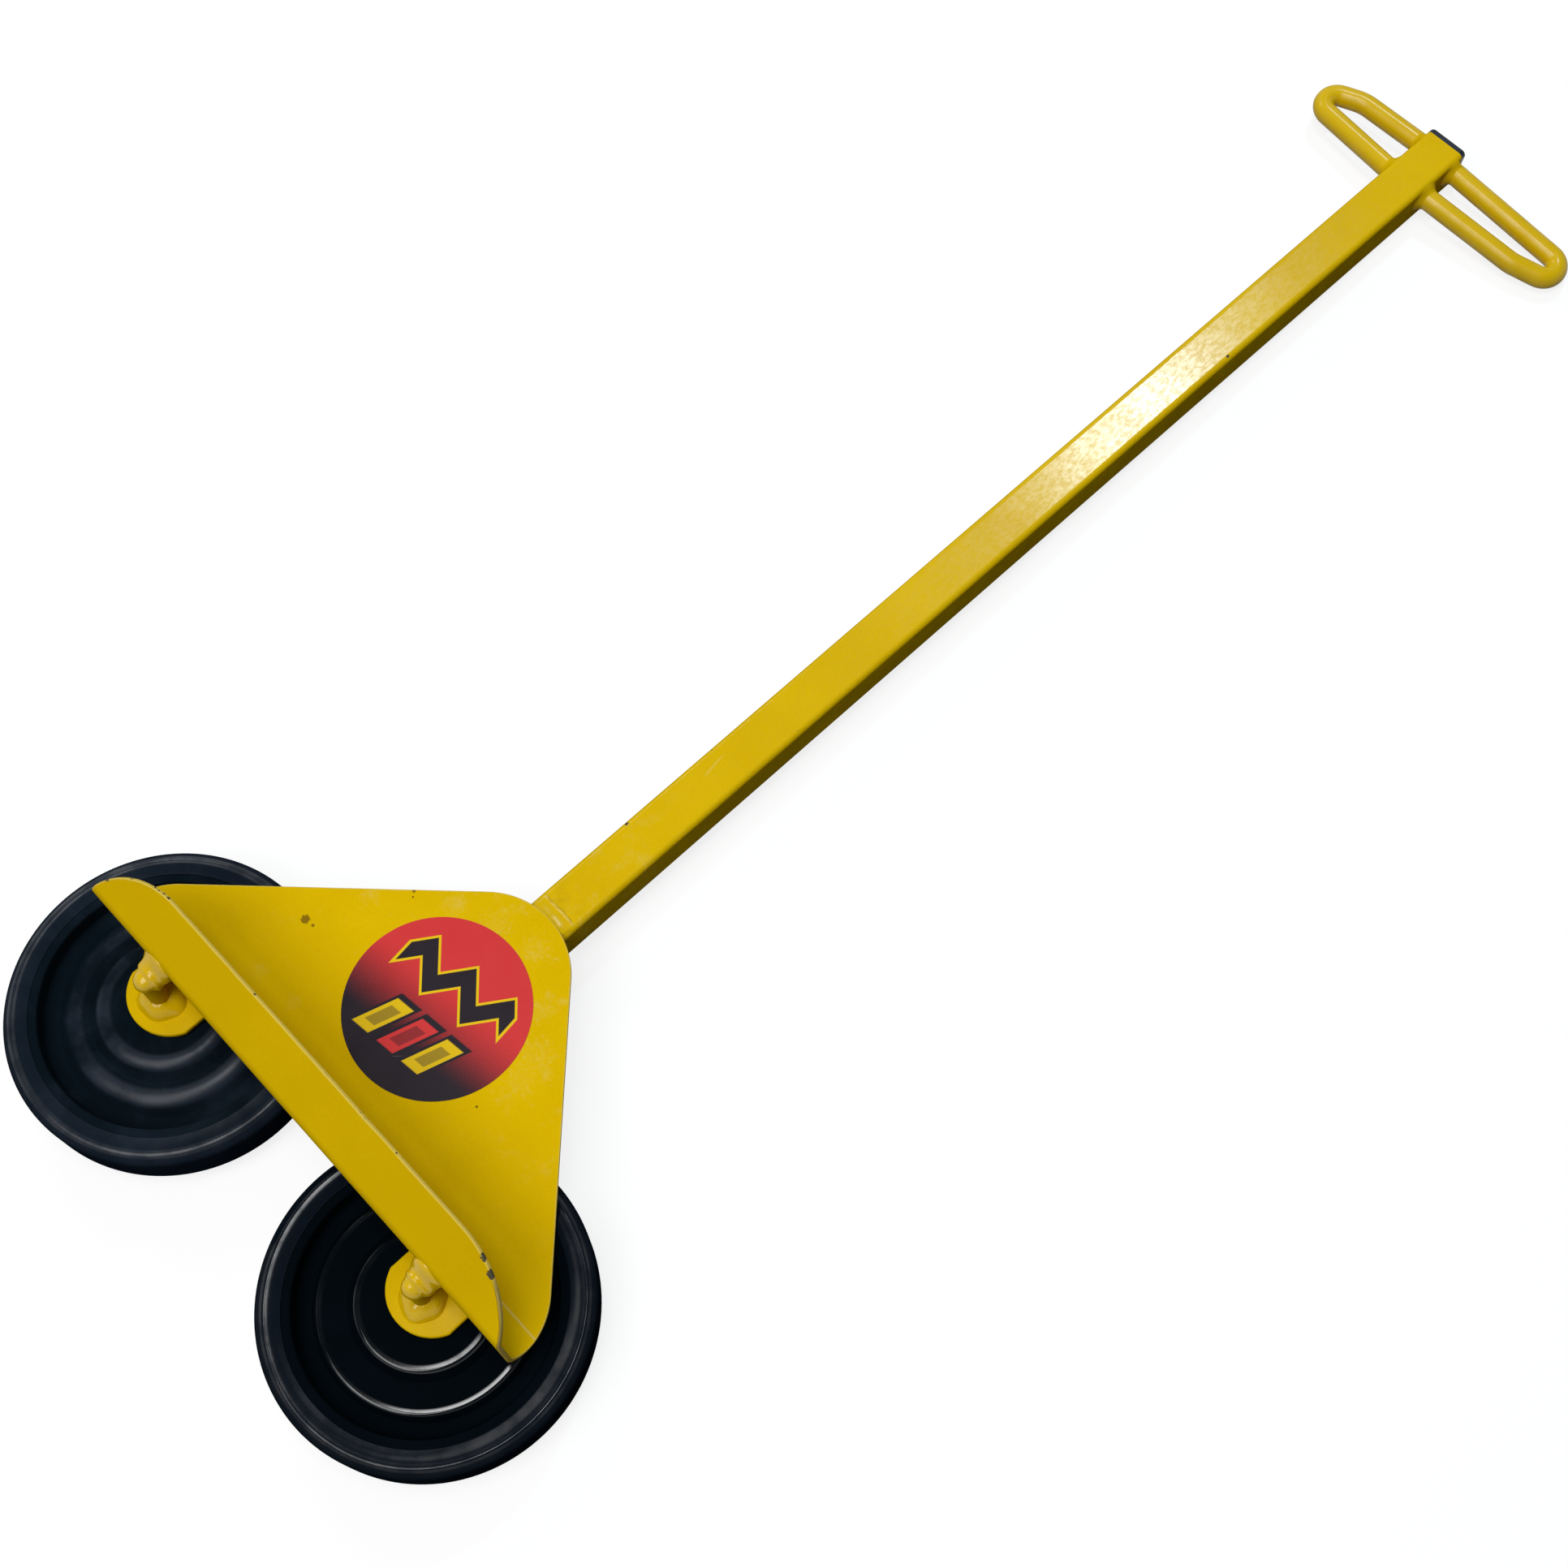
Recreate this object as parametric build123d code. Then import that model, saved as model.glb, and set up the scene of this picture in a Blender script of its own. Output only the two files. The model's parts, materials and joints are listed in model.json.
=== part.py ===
"""Panel dolly: two tandem wheels under a bent steel carrier plate, with a long tube handle.

Design axes, in millimetres: X runs along the trough, Y up the handle, Z out of the front of
the carrier plate. The design origin is midway between the two axles, on the handle's centre
line. At the end the whole dolly is laid on its back, resting on its two axle tails and the
top of its handle, with +Z up and the origin under the middle of its box.
"""
import math
import os

from build123d import *

# Wheels
WHEEL_DIAMETER = 203.2
TREAD_WIDTH = 38.1
WHEEL_GAP = 46.8
SHOULDER_WIDTH = 5.6
SHOULDER_DROP = 5.0
SHOULDER_ROUND = 5.0
TREAD_EDGE_ROUND = 1.2
TYRE_EDGE_ROUND = 0.4
TYRE_THICKNESS = 16.6
TYRE_BOND = 0.02
RIM_THICKNESS = 5.5
RIM_STEP = 0.4
RIM_EDGE_ROUND = 1.5
RIM_DRAFT = 1.5
WEB_THICKNESS = 12.0
MOAT_WIDTH = 10.5
MOAT_OUTER_ROUND = 3.5
MOAT_INNER_ROUND = 1.5
PLATEAU_RISE = 6.5
PLATEAU_RAMP = 3.0
PLATEAU_ROUND = 6.0
HUB_DIAMETER = 72.0
HUB_FLARE = 9.0
HUB_FOOT_ROUND = 6.0
HUB_EDGE_ROUND = 3.0
HUB_PROUD = 0.95

# Wheel bearings: a flanged bush pressed into each end of the hub
BUSH_WALL = 3.4
BUSH_LENGTH = 16.0
BUSH_FLANGE_DIAMETER = 28.0
BUSH_FLANGE = 2.0
BUSH_PROUD = 0.3
BUSH_PRESS_GAP = 0.02
BUSH_POCKET_GAP = 0.2
BUSH_RUNNING_GAP = 0.08

# Axles, their washers and split pins
AXLE_DIAMETER = 12.7
AXLE_REACH = 43.5
AXLE_NOSE_ROUND = 3.0
AXLE_NOSE_FLAT = 1.0
AXLE_TAIL = 6.0
AXLE_TAIL_CHAMFER = 1.0
AXLE_FIT_GAP = 0.05
WASHER_DIAMETER = 30.0
WASHER_THICKNESS = 1.6
WASHER_BORE_GAP = 0.1
END_PLAY = 0.15
PIN_WIRE = 1.5
PIN_LEG_GAP = 0.1
PIN_HOLE_GAP = 0.15
PIN_EYE_RADIUS = 3.2
PIN_STAND_OFF = 1.0
PIN_SPLAY_RADIUS = 2.4
PIN_SPLAY_ANGLE = 60.0
PIN_TAIL = 4.0
PIN_WASHER_GAP = 0.3

# Axle tabs, the ears that carry the axles behind the carrier plate
TAB_WIDTH = 53.5
TAB_SHEET = 5.0
TAB_RISE = 72.0
TAB_SHOULDER = 3.0
TAB_END_RADIUS = 29.0

# Carrier plate: a triangle with rounded corners whose lower edge is folded into a trough
SHEET = 3.0
PLATE_HEIGHT = 196.4
APEX_RADIUS = 56.0
EDGE_ANGLE = 45.0
TROUGH_LENGTH = 382.0
PLATE_CORNER_RADIUS = 50.0
SEAT_BEND = 19.0
TROUGH_FLAT = 28.0
LIP_BEND = 8.0
LIP_ANGLE = 45.0
LIP_LENGTH = 36.0
LIP_CORNER_RADIUS = 61.0
TROUGH_WELD_GAP = 4.65

# Round sticker on the plate
STICKER_DIAMETER = 118.0
STICKER_THICKNESS = 0.3
STICKER_BELOW_APEX = 88.5
STICKER_ASIDE = 3.0

# Handle tube and its end cap
TUBE_SIDE = 33.0
TUBE_WALL = 2.0
TUBE_CORNER = 4.0
TUBE_BORE_CORNER = 0.5
TUBE_ABOVE_PLATE = 888.0
TUBE_FOOT_GAP = 7.0
CAP_FLANGE = 4.6
CAP_EDGE_ROUND = 1.0
CAP_PLUG_DEPTH = 24.0
CAP_PLUG_WALL = 2.0
CAP_FIN_COUNT = 3
CAP_FIN = 1.2
CAP_FIN_REACH = 1.4
CAP_FIT_GAP = 0.05

# Hand loop: a hairpin of rod on each side of the tube, with a slight kink in one of its legs.
# Drops are measured down from where the upper leg meets the tube, kinks out from the tube.
LOOP_ROD = 15.875
LOOP_BEND_RADIUS = 11.1
LOOP_KINK_RADIUS = 30.0
LOOP_FORWARD = 3.5
LEFT_LOOP_REACH = 76.8
LEFT_LOOP_SPREAD = 35.5
LEFT_LOOP_BELOW_TOP = 3.5
LEFT_LOOP_TIP_DROP = 18.0
LEFT_LOOP_KINK = 54.5
LEFT_LOOP_KINK_DROP = 1.0
LEFT_LOOP_LEAN = 0.6
RIGHT_LOOP_REACH = 108.0
RIGHT_LOOP_SPREAD = 33.2
RIGHT_LOOP_BELOW_TOP = 6.0
RIGHT_LOOP_TIP_DROP = 9.8
RIGHT_LOOP_KINK = 80.6
RIGHT_LOOP_KINK_DROP = 26.8
RIGHT_LOOP_LEAN = 5.5

# Weld beads
LOOP_WELD_LEG = 4.0
AXLE_WELD_LEG = 8.0
NUGGET_RADIUS = 10.0
NUGGET_RISE = 7.5
NUGGET_SETBACK = 4.0
TAB_WELD_LEG = 4.0
APEX_WELD_LENGTH = 11.0
APEX_WELD_TOE = 0.4
TUBE_WELD_LEG = 5.0
TUBE_WELD_DEPTH = 5.0
TUBE_WELD_INSET = 12.0

# Cutting tools reach this far past what they cut
OVERRUN = 2.0

SIDES = {"left": -1, "right": 1}

# Levels worked out from the sizes above
AXLE_SPACING = WHEEL_DIAMETER + WHEEL_GAP
PLATE_BACK = TUBE_SIDE / 2
PLATE_FRONT = PLATE_BACK + SHEET
TROUGH_UNDERSIDE = AXLE_DIAMETER / 2 + TROUGH_WELD_GAP
TROUGH_FLOOR = TROUGH_UNDERSIDE + SHEET
SEAT_TANGENT = TROUGH_FLOOR + SEAT_BEND
SEAT_CENTRE = PLATE_FRONT + SEAT_BEND
FLOOR_END = SEAT_CENTRE + TROUGH_FLAT
PLATE_TOP = TROUGH_UNDERSIDE + PLATE_HEIGHT
TAB_BACK = PLATE_BACK - TAB_SHEET
HUB_LENGTH = TREAD_WIDTH + 2 * HUB_PROUD
BEARING_LENGTH = HUB_LENGTH + 2 * BUSH_PROUD
WHEEL_MIDDLE = TAB_BACK - WASHER_THICKNESS - END_PLAY - BEARING_LENGTH / 2
BEARING_BACK = WHEEL_MIDDLE - BEARING_LENGTH / 2
WASHER_BACK = BEARING_BACK - END_PLAY - WASHER_THICKNESS
PIN_HOLE_DIAMETER = 2 * PIN_WIRE + PIN_LEG_GAP + 2 * PIN_HOLE_GAP
PIN_LEVEL = WASHER_BACK - PIN_WASHER_GAP - PIN_WIRE / 2
AXLE_BACK = PIN_LEVEL - AXLE_TAIL
AXLE_FRONT = PLATE_BACK + AXLE_REACH
TUBE_TOP = PLATE_TOP + TUBE_ABOVE_PLATE
TUBE_FOOT = SEAT_TANGENT + TUBE_FOOT_GAP
LOOP_SIZES = {
    -1: (LEFT_LOOP_REACH, LEFT_LOOP_SPREAD, TUBE_TOP - LEFT_LOOP_BELOW_TOP, LEFT_LOOP_TIP_DROP),
    1: (RIGHT_LOOP_REACH, RIGHT_LOOP_SPREAD, TUBE_TOP - RIGHT_LOOP_BELOW_TOP, RIGHT_LOOP_TIP_DROP),
}
LOOP_KINKS = {
    -1: (LEFT_LOOP_KINK, LEFT_LOOP_KINK_DROP),
    1: (RIGHT_LOOP_KINK, RIGHT_LOOP_KINK_DROP),
}
LOOP_LEANS = {-1: LEFT_LOOP_LEAN, 1: RIGHT_LOOP_LEAN}


def axle_place(side):
    """Where a wheel's own axes stand: Z along the axle, from the wheel's middle plane."""
    return Pos(side * AXLE_SPACING / 2, 0, WHEEL_MIDDLE)


def sheet_line(depth):
    """One face of the folded sheet, seen from its end: depth 0 is the panel's side."""
    level = PLATE_FRONT - depth
    plate = Line((PLATE_TOP + OVERRUN, level), (SEAT_TANGENT, level))
    seat = JernArc(plate @ 1, plate % 1, SEAT_BEND + depth, -90)
    floor = Line(seat @ 1, (seat @ 1) + (seat % 1) * TROUGH_FLAT)
    fold = JernArc(floor @ 1, floor % 1, LIP_BEND + depth, -LIP_ANGLE)
    lip = Line(fold @ 1, (fold @ 1) + (fold % 1) * LIP_LENGTH)
    return [plate, seat, floor, fold, lip]


def plate_outline():
    """The triangle of the plate as cut, long enough below to leave the trough square."""
    half = TROUGH_LENGTH / 2
    slope = math.radians(EDGE_ANGLE)
    peak = PLATE_TOP + APEX_RADIUS * (1 / math.cos(slope) - 1)
    corner = peak - half * math.tan(slope)
    foot = min(TROUGH_UNDERSIDE, corner - PLATE_CORNER_RADIUS) - OVERRUN
    points = [(-half, foot), (half, foot), (half, corner), (0, peak), (-half, corner)]
    face = make_face(Polyline(*points, close=True))
    corners = face.vertices().group_by(Axis.Y)[1]
    face = fillet(corners, PLATE_CORNER_RADIUS)
    apex = face.vertices().sort_by(Axis.Y)[-1]
    return fillet(apex, APEX_RADIUS)


def fold_plane(angle):
    """A plane through the lip's bend line: Y runs along the sheet bent that far, Z out through it."""
    turn = math.radians(angle)
    return Plane(
        origin=(0, TROUGH_FLOOR + LIP_BEND, FLOOR_END),
        x_dir=(1, 0, 0),
        z_dir=(0, -math.cos(turn), math.sin(turn)),
    )


def flat_scrap(start, low, high):
    """What the flat sheet loses at its ends between two levels, with the lip starting at start.

    Laid flat, the trough is a straight strip whose two free corners are rounded off.
    """
    free = start + LIP_LENGTH
    tall = max(free - low, LIP_CORNER_RADIUS) + OVERRUN
    strip = Pos(0, free - tall / 2) * Rectangle(TROUGH_LENGTH, tall)
    strip = fillet(strip.vertices().group_by(Axis.Y)[-1], LIP_CORNER_RADIUS)
    blank = Pos(0, (low + high) / 2) * Rectangle(TROUGH_LENGTH + 4 * OVERRUN, high - low)
    return blank - strip


def fold_scrap(side, run):
    """What is cut from one end of the bend: the same round corner, wrapped round the bend line."""
    stations = 5
    edges = []
    for radius in (LIP_BEND / 2, LIP_BEND + SHEET + OVERRUN):
        points = []
        for station in range(stations):
            share = station / (stations - 1)
            left = LIP_LENGTH + run * (1 - share)
            short = max(LIP_CORNER_RADIUS - left, 0)
            inset = LIP_CORNER_RADIUS - math.sqrt(LIP_CORNER_RADIUS**2 - short**2)
            plane = fold_plane(LIP_ANGLE * share)
            points.append(plane.from_local_coords((side * (TROUGH_LENGTH / 2 - inset), 0, radius)))
        edges.append(Spline(*points))
    cut = Face.make_surface_from_curves(edges[0].edge(), edges[1].edge())
    return extrude(cut, amount=LIP_CORNER_RADIUS, dir=(side, 0, 0))


def end_scrap():
    """What is cut from both ends of the floor, the bend and the lip."""
    run = math.radians(LIP_ANGLE) * (LIP_BEND + SHEET / 2)
    deep = LIP_BEND + SHEET + OVERRUN
    floor = flat_scrap(run, -TROUGH_FLAT, 0)
    lip = flat_scrap(0, 0, LIP_LENGTH + OVERRUN)
    flats = [
        extrude(fold_plane(0) * floor, amount=deep),
        extrude(fold_plane(LIP_ANGLE) * lip, amount=deep),
    ]
    return flats + [fold_scrap(side, run) for side in SIDES.values()]


def carrier_plate():
    """Fold the section along the trough, then cut the plate's triangle and the trough's ends."""
    inner = sheet_line(0)
    outer = sheet_line(SHEET)
    top = Line(inner[0] @ 0, outer[0] @ 0)
    edge = Line(inner[-1] @ 1, outer[-1] @ 1)
    section = make_face(Curve() + inner + outer + [top, edge])
    sheet = extrude(Plane.YZ * section, amount=TROUGH_LENGTH / 2 + OVERRUN, both=True)
    blank = Pos(0, PLATE_TOP / 2) * Rectangle(
        TROUGH_LENGTH + 4 * OVERRUN, PLATE_TOP + 4 * OVERRUN
    )
    sheet -= Pos(0, 0, PLATE_BACK - OVERRUN) * extrude(
        blank - plate_outline(), amount=SHEET + SEAT_BEND + OVERRUN
    )
    for scrap in end_scrap():
        sheet -= scrap
    return sheet


def sticker():
    """A round vinyl sticker on the front of the plate."""
    disc = Cylinder(
        STICKER_DIAMETER / 2, STICKER_THICKNESS, align=(Align.CENTER, Align.CENTER, Align.MIN)
    )
    return Pos(-STICKER_ASIDE, PLATE_TOP - STICKER_BELOW_APEX, PLATE_FRONT) * disc


def tube_block(side, corner, start, end):
    """A square bar with rounded corners along the handle."""
    section = Plane.XZ * RectangleRounded(side, side, corner)
    return Pos(0, end, 0) * extrude(section, amount=end - start)


def handle_tube():
    """The square tube, open at both ends."""
    bore = TUBE_SIDE - 2 * TUBE_WALL
    bore_corner = max(TUBE_CORNER - TUBE_WALL, TUBE_BORE_CORNER)
    outside = tube_block(TUBE_SIDE, TUBE_CORNER, TUBE_FOOT, TUBE_TOP)
    inside = tube_block(bore, bore_corner, TUBE_FOOT - OVERRUN, TUBE_TOP + OVERRUN)
    return outside - inside


def tube_end_cap():
    """A plastic cap: a flush flange on a hollow plug whose fins grip the inside of the tube."""
    bore = TUBE_SIDE - 2 * TUBE_WALL - 2 * CAP_FIT_GAP
    corner = max(TUBE_CORNER - TUBE_WALL, TUBE_BORE_CORNER) - CAP_FIT_GAP
    plug_side = bore - 2 * CAP_FIN_REACH
    flange = tube_block(TUBE_SIDE, TUBE_CORNER, TUBE_TOP, TUBE_TOP + CAP_FLANGE)
    flange = fillet(flange.faces().sort_by(Axis.Y)[-1].edges(), CAP_EDGE_ROUND)
    foot = TUBE_TOP - CAP_PLUG_DEPTH
    plug = tube_block(plug_side, corner, foot, TUBE_TOP)
    hollow = tube_block(plug_side - 2 * CAP_PLUG_WALL, corner, foot - OVERRUN, TUBE_TOP)
    cap = flange + plug
    for fin in range(CAP_FIN_COUNT):
        level = TUBE_TOP - CAP_PLUG_DEPTH * (fin + 1) / (CAP_FIN_COUNT + 1)
        cap += tube_block(bore, corner, level - CAP_FIN / 2, level + CAP_FIN / 2)
    return cap - hollow


def tube_mask():
    """The space of the handle, to face off what is welded to its sides."""
    return tube_block(TUBE_SIDE, TUBE_CORNER, TUBE_FOOT, TUBE_TOP + 2 * LOOP_ROD)


def tangent_leg(start, centre, way):
    """Where a straight leg runs onto the tip bend, above (way 1) or below (-1), and its direction."""
    gap = centre - start
    turn = math.atan2(gap.Y, gap.X) + way * math.asin(LOOP_BEND_RADIUS / gap.length)
    return centre + Vector(-math.sin(turn), math.cos(turn)) * way * LOOP_BEND_RADIUS, turn


def loop_line(side):
    """Centre line of one hairpin on the tube's right-hand side, and where its legs leave the tube.

    The legs come as (level, turn): the height on the tube's side and the degrees off square.
    """
    reach, spread, top, drop = LOOP_SIZES[side]
    out, below = LOOP_KINKS[side]
    root = TUBE_SIDE / 2
    centre = Vector(root + reach - LOOP_BEND_RADIUS, top - drop)
    kink = Vector(root + out, top - below)
    kinked_way = 1 if below < spread / 2 else -1
    lines, ends, swings, legs = [], [], [], []
    for way, level in ((1, top), (-1, top - spread)):
        foot = Vector(root, level)
        kinked = way == kinked_way
        end, swing = tangent_leg(kink if kinked else foot, centre, way)
        run = (kink if kinked else end) - foot
        inside = foot - run * (root / run.X)
        if kinked:
            lines.append(FilletPolyline(inside, kink, end, radius=LOOP_KINK_RADIUS))
        else:
            lines.append(Line(inside, end))
        ends.append(end)
        swings.append(swing)
        legs.append((level, math.degrees(math.atan2(run.Y, run.X))))
    middle = sum(swings) / 2
    crown = centre + Vector(math.cos(middle), math.sin(middle)) * LOOP_BEND_RADIUS
    tip = ThreePointArc(ends[0], crown, ends[1])
    return Wire(lines[0].edges() + tip.edges() + lines[1].edges()), legs


def on_side(side, shape):
    """Lean back what is drawn on the right-hand side of the tube and put it on the asked side."""
    root = TUBE_SIDE / 2
    placed = Pos(root, 0, LOOP_FORWARD) * Rot(0, LOOP_LEANS[side], 0) * Pos(-root, 0, 0) * shape
    return placed if side > 0 else mirror(placed, Plane.YZ)


def hand_loop(side):
    """One rod bent to a hairpin, with both ends faced off on the side of the tube."""
    path, _ = loop_line(side)
    section = Plane(path @ 0, z_dir=path % 0) * Circle(LOOP_ROD / 2)
    return on_side(side, sweep(section, path=path)) - tube_mask()


def loop_welds(side):
    """A fillet bead round each leg of one hairpin, where it meets the tube."""
    _, legs = loop_line(side)
    inner = LOOP_ROD / 2
    points = [(inner, -OVERRUN), (inner + LOOP_WELD_LEG + OVERRUN, -OVERRUN), (inner, LOOP_WELD_LEG)]
    ring = Rot(0, 90, 0) * revolve(Plane.XZ * make_face(Polyline(*points, close=True)), Axis.Z)
    above = Pos(0, TUBE_TOP, 0) * Box(
        4 * TUBE_SIDE, 4 * LOOP_ROD, 4 * LOOP_ROD, align=(Align.CENTER, Align.MIN, Align.CENTER)
    )
    beads = []
    for level, turn in legs:
        bead = on_side(side, Pos(TUBE_SIDE / 2, level, 0) * Rot(0, 0, turn) * ring)
        beads.append((bead - tube_mask() - above).solids().sort_by(SortBy.VOLUME)[-1])
    return Compound(children=beads)


def tab_outline():
    """An ear with straight sides and a round lower end, centred on its axle."""
    half = TAB_WIDTH / 2
    end = max(TAB_END_RADIUS, half)
    drop = end - math.sqrt(end**2 - half**2)
    top = Line((half, TAB_RISE), (-half, TAB_RISE))
    left = Line(top @ 1, (-half, -TAB_SHOULDER))
    arc = ThreePointArc((-half, -TAB_SHOULDER), (0, -TAB_SHOULDER - drop), (half, -TAB_SHOULDER))
    right = Line(arc @ 1, top @ 0)
    return make_face(Curve() + [top, left, arc, right])


def tab_place(side):
    """The back of one tab, on its axle's centre line."""
    return Pos(side * AXLE_SPACING / 2, 0, TAB_BACK)


def axle_tab(side):
    """One flat ear, bored for its axle."""
    hole = Circle(AXLE_DIAMETER / 2 + AXLE_FIT_GAP)
    return tab_place(side) * extrude(tab_outline() - hole, amount=TAB_SHEET)


def tab_weld(side):
    """A bead along both sides and the top of one tab, on the back of the plate."""
    leg = min(TAB_WELD_LEG, TAB_SHEET)
    tall = TAB_RISE - SEAT_TANGENT
    middle = SEAT_TANGENT + tall / 2
    wide = Pos(0, middle + leg / 2) * Rectangle(TAB_WIDTH + 2 * leg, tall + leg)
    narrow = Pos(0, middle) * Rectangle(TAB_WIDTH, tall)
    bead = loft([Pos(0, 0, TAB_SHEET - leg) * narrow, Pos(0, 0, TAB_SHEET) * wide])
    return tab_place(side) * (bead - extrude(tab_outline(), amount=TAB_SHEET + OVERRUN))


def axle(side):
    """A round rod: domed nose under the trough, chamfered tail with a hole for its split pin."""
    rod = extrude(Circle(AXLE_DIAMETER / 2), amount=AXLE_FRONT - AXLE_BACK)
    ends = rod.edges().filter_by(GeomType.CIRCLE).sort_by(Axis.Z)
    rod = chamfer(ends[0], AXLE_TAIL_CHAMFER)
    nose = rod.edges().filter_by(GeomType.CIRCLE).sort_by(Axis.Z)[-1]
    rod = fillet(nose, min(AXLE_NOSE_ROUND, (AXLE_DIAMETER - AXLE_NOSE_FLAT) / 2))
    hole = Pos(0, 0, PIN_LEVEL - AXLE_BACK) * Rot(90, 0, 0) * Cylinder(
        PIN_HOLE_DIAMETER / 2, AXLE_DIAMETER + 2 * OVERRUN
    )
    return Pos(side * AXLE_SPACING / 2, 0, AXLE_BACK) * (rod - hole)


def axle_welds(side):
    """A hollow fillet round the axle on its tab, and a nugget that ties it to the trough."""
    inner = AXLE_DIAMETER / 2
    foot = inner + AXLE_WELD_LEG
    hollow = inner + AXLE_WELD_LEG * 0.32
    base = Line((inner, 0), (foot, 0))
    slope = ThreePointArc((foot, 0), (hollow, hollow - inner), (inner, AXLE_WELD_LEG))
    back = Line((inner, AXLE_WELD_LEG), (inner, 0))
    ring = revolve(Plane.XZ * make_face(Curve() + [base, slope, back]), Axis.Z)
    ring = Pos(0, 0, PLATE_BACK) * ring
    ball = Pos(0, NUGGET_RISE, AXLE_FRONT - NUGGET_SETBACK) * Sphere(NUGGET_RADIUS)
    room = 2 * (NUGGET_RADIUS + NUGGET_RISE)
    below = Pos(0, TROUGH_UNDERSIDE, AXLE_FRONT) * Box(
        room, room, room, align=(Align.CENTER, Align.MAX, Align.CENTER)
    )
    rod = Pos(0, 0, PLATE_BACK) * Cylinder(
        AXLE_DIAMETER / 2, AXLE_REACH, align=(Align.CENTER, Align.CENTER, Align.MIN)
    )
    nugget = ((ball & below) - rod).solids().sort_by(SortBy.VOLUME)[-1]
    place = Pos(side * AXLE_SPACING / 2, 0, 0)
    return Compound(children=[place * ring.solid(), place * nugget])


def washer(side, back):
    """A plain washer on one axle, with its back face at the given level."""
    ring = Circle(WASHER_DIAMETER / 2) - Circle(AXLE_DIAMETER / 2 + WASHER_BORE_GAP)
    return Pos(side * AXLE_SPACING / 2, 0, back) * extrude(ring, amount=WASHER_THICKNESS)


def cotter_pin(side):
    """A split pin: one wire with an eye, two legs through the axle and splayed tails."""
    leg = (PIN_WIRE + PIN_LEG_GAP) / 2
    start = AXLE_DIAMETER / 2 + PIN_STAND_OFF
    rise = math.sqrt(PIN_EYE_RADIUS**2 - leg**2)
    crown = (0, start + rise + PIN_EYE_RADIUS)
    eye = ThreePointArc((-leg, start), crown, (leg, start))
    halves = []
    for way in (-1, 1):
        straight = Line((way * leg, start), (way * leg, -start))
        bend = JernArc(straight @ 1, straight % 1, PIN_SPLAY_RADIUS, way * PIN_SPLAY_ANGLE)
        tail = Line(bend @ 1, (bend @ 1) + (bend % 1) * PIN_TAIL)
        path = Wire([straight, bend, tail])
        section = Plane(straight @ 0, z_dir=straight % 0) * Circle(PIN_WIRE / 2)
        halves.append(sweep(section, path=path))
    ring = sweep(Plane(eye @ 0, z_dir=eye % 0) * Circle(PIN_WIRE / 2), path=Wire([eye]))
    knuckles = [Pos(way * leg, start) * Sphere(PIN_WIRE / 2) for way in (-1, 1)]
    pin = ring + knuckles[0] + knuckles[1] + halves[0] + halves[1]
    return Pos(side * AXLE_SPACING / 2, 0, PIN_LEVEL) * pin


def turned_ring(points, rounds):
    """A ring from its front contour, (radius, height) points with a round at each inner corner.

    The contour runs from the ring's outer middle line to its inner one, and the back mirrors it.
    """
    front = Plane.XZ * FilletPolyline(*points, radius=rounds)
    back = mirror(front, Plane.XY)
    return revolve(make_face(Curve() + [front, back]), Axis.Z)


def wheel_core(side):
    """Moulded hub, web and rim: a moat inside the rim and a raised disc round the hub."""
    rim_outer = WHEEL_DIAMETER / 2 - TYRE_THICKNESS - TYRE_BOND
    rim_inner = rim_outer - RIM_THICKNESS
    face = TREAD_WIDTH / 2 - RIM_STEP
    web = WEB_THICKNESS / 2
    moat_outer = rim_inner - RIM_DRAFT
    moat_inner = moat_outer - MOAT_WIDTH
    disc_outer = moat_inner - PLATEAU_RAMP
    disc = web + PLATEAU_RISE
    hub = HUB_DIAMETER / 2
    pocket = BUSH_FLANGE_DIAMETER / 2 + BUSH_POCKET_GAP
    seat = HUB_LENGTH / 2 - BUSH_FLANGE + BUSH_PROUD
    bore = AXLE_DIAMETER / 2 + BUSH_RUNNING_GAP + BUSH_WALL + BUSH_PRESS_GAP
    corner = BUSH_POCKET_GAP / 2
    points = [
        (rim_outer, 0), (rim_outer, face), (rim_inner, face), (moat_outer, web),
        (moat_inner, web), (disc_outer, disc), (hub + HUB_FLARE, disc), (hub, HUB_LENGTH / 2),
        (pocket, HUB_LENGTH / 2), (pocket, seat), (bore, seat), (bore, 0),
    ]
    rounds = [
        TYRE_EDGE_ROUND, RIM_EDGE_ROUND, MOAT_OUTER_ROUND, MOAT_INNER_ROUND, PLATEAU_ROUND,
        HUB_FOOT_ROUND, HUB_EDGE_ROUND, corner, corner, corner,
    ]
    return axle_place(side) * turned_ring(points, rounds)


def tyre(side):
    """The tread ring: a flat side wall, a crisp edge and a rounded shoulder."""
    outer = WHEEL_DIAMETER / 2
    inner = outer - TYRE_THICKNESS
    face = TREAD_WIDTH / 2
    points = [
        (outer, 0), (outer, face - SHOULDER_DROP), (outer - SHOULDER_WIDTH, face),
        (inner, face), (inner, 0),
    ]
    return axle_place(side) * turned_ring(points, [SHOULDER_ROUND, TREAD_EDGE_ROUND, TYRE_EDGE_ROUND])


def bush(side, way):
    """A flanged bush in the front (way 1) or back (way -1) of one hub."""
    inner = AXLE_DIAMETER / 2 + BUSH_RUNNING_GAP
    outer = inner + BUSH_WALL
    flange = BUSH_FLANGE_DIAMETER / 2
    end = BEARING_LENGTH / 2
    neck = end - BUSH_FLANGE
    foot = end - BUSH_LENGTH
    points = [(inner, foot), (outer, foot), (outer, neck), (flange, neck), (flange, end), (inner, end)]
    body = revolve(Plane.XZ * make_face(Polyline(*points, close=True)), Axis.Z)
    return axle_place(side) * (body if way > 0 else Rot(180, 0, 0) * body)


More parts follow.
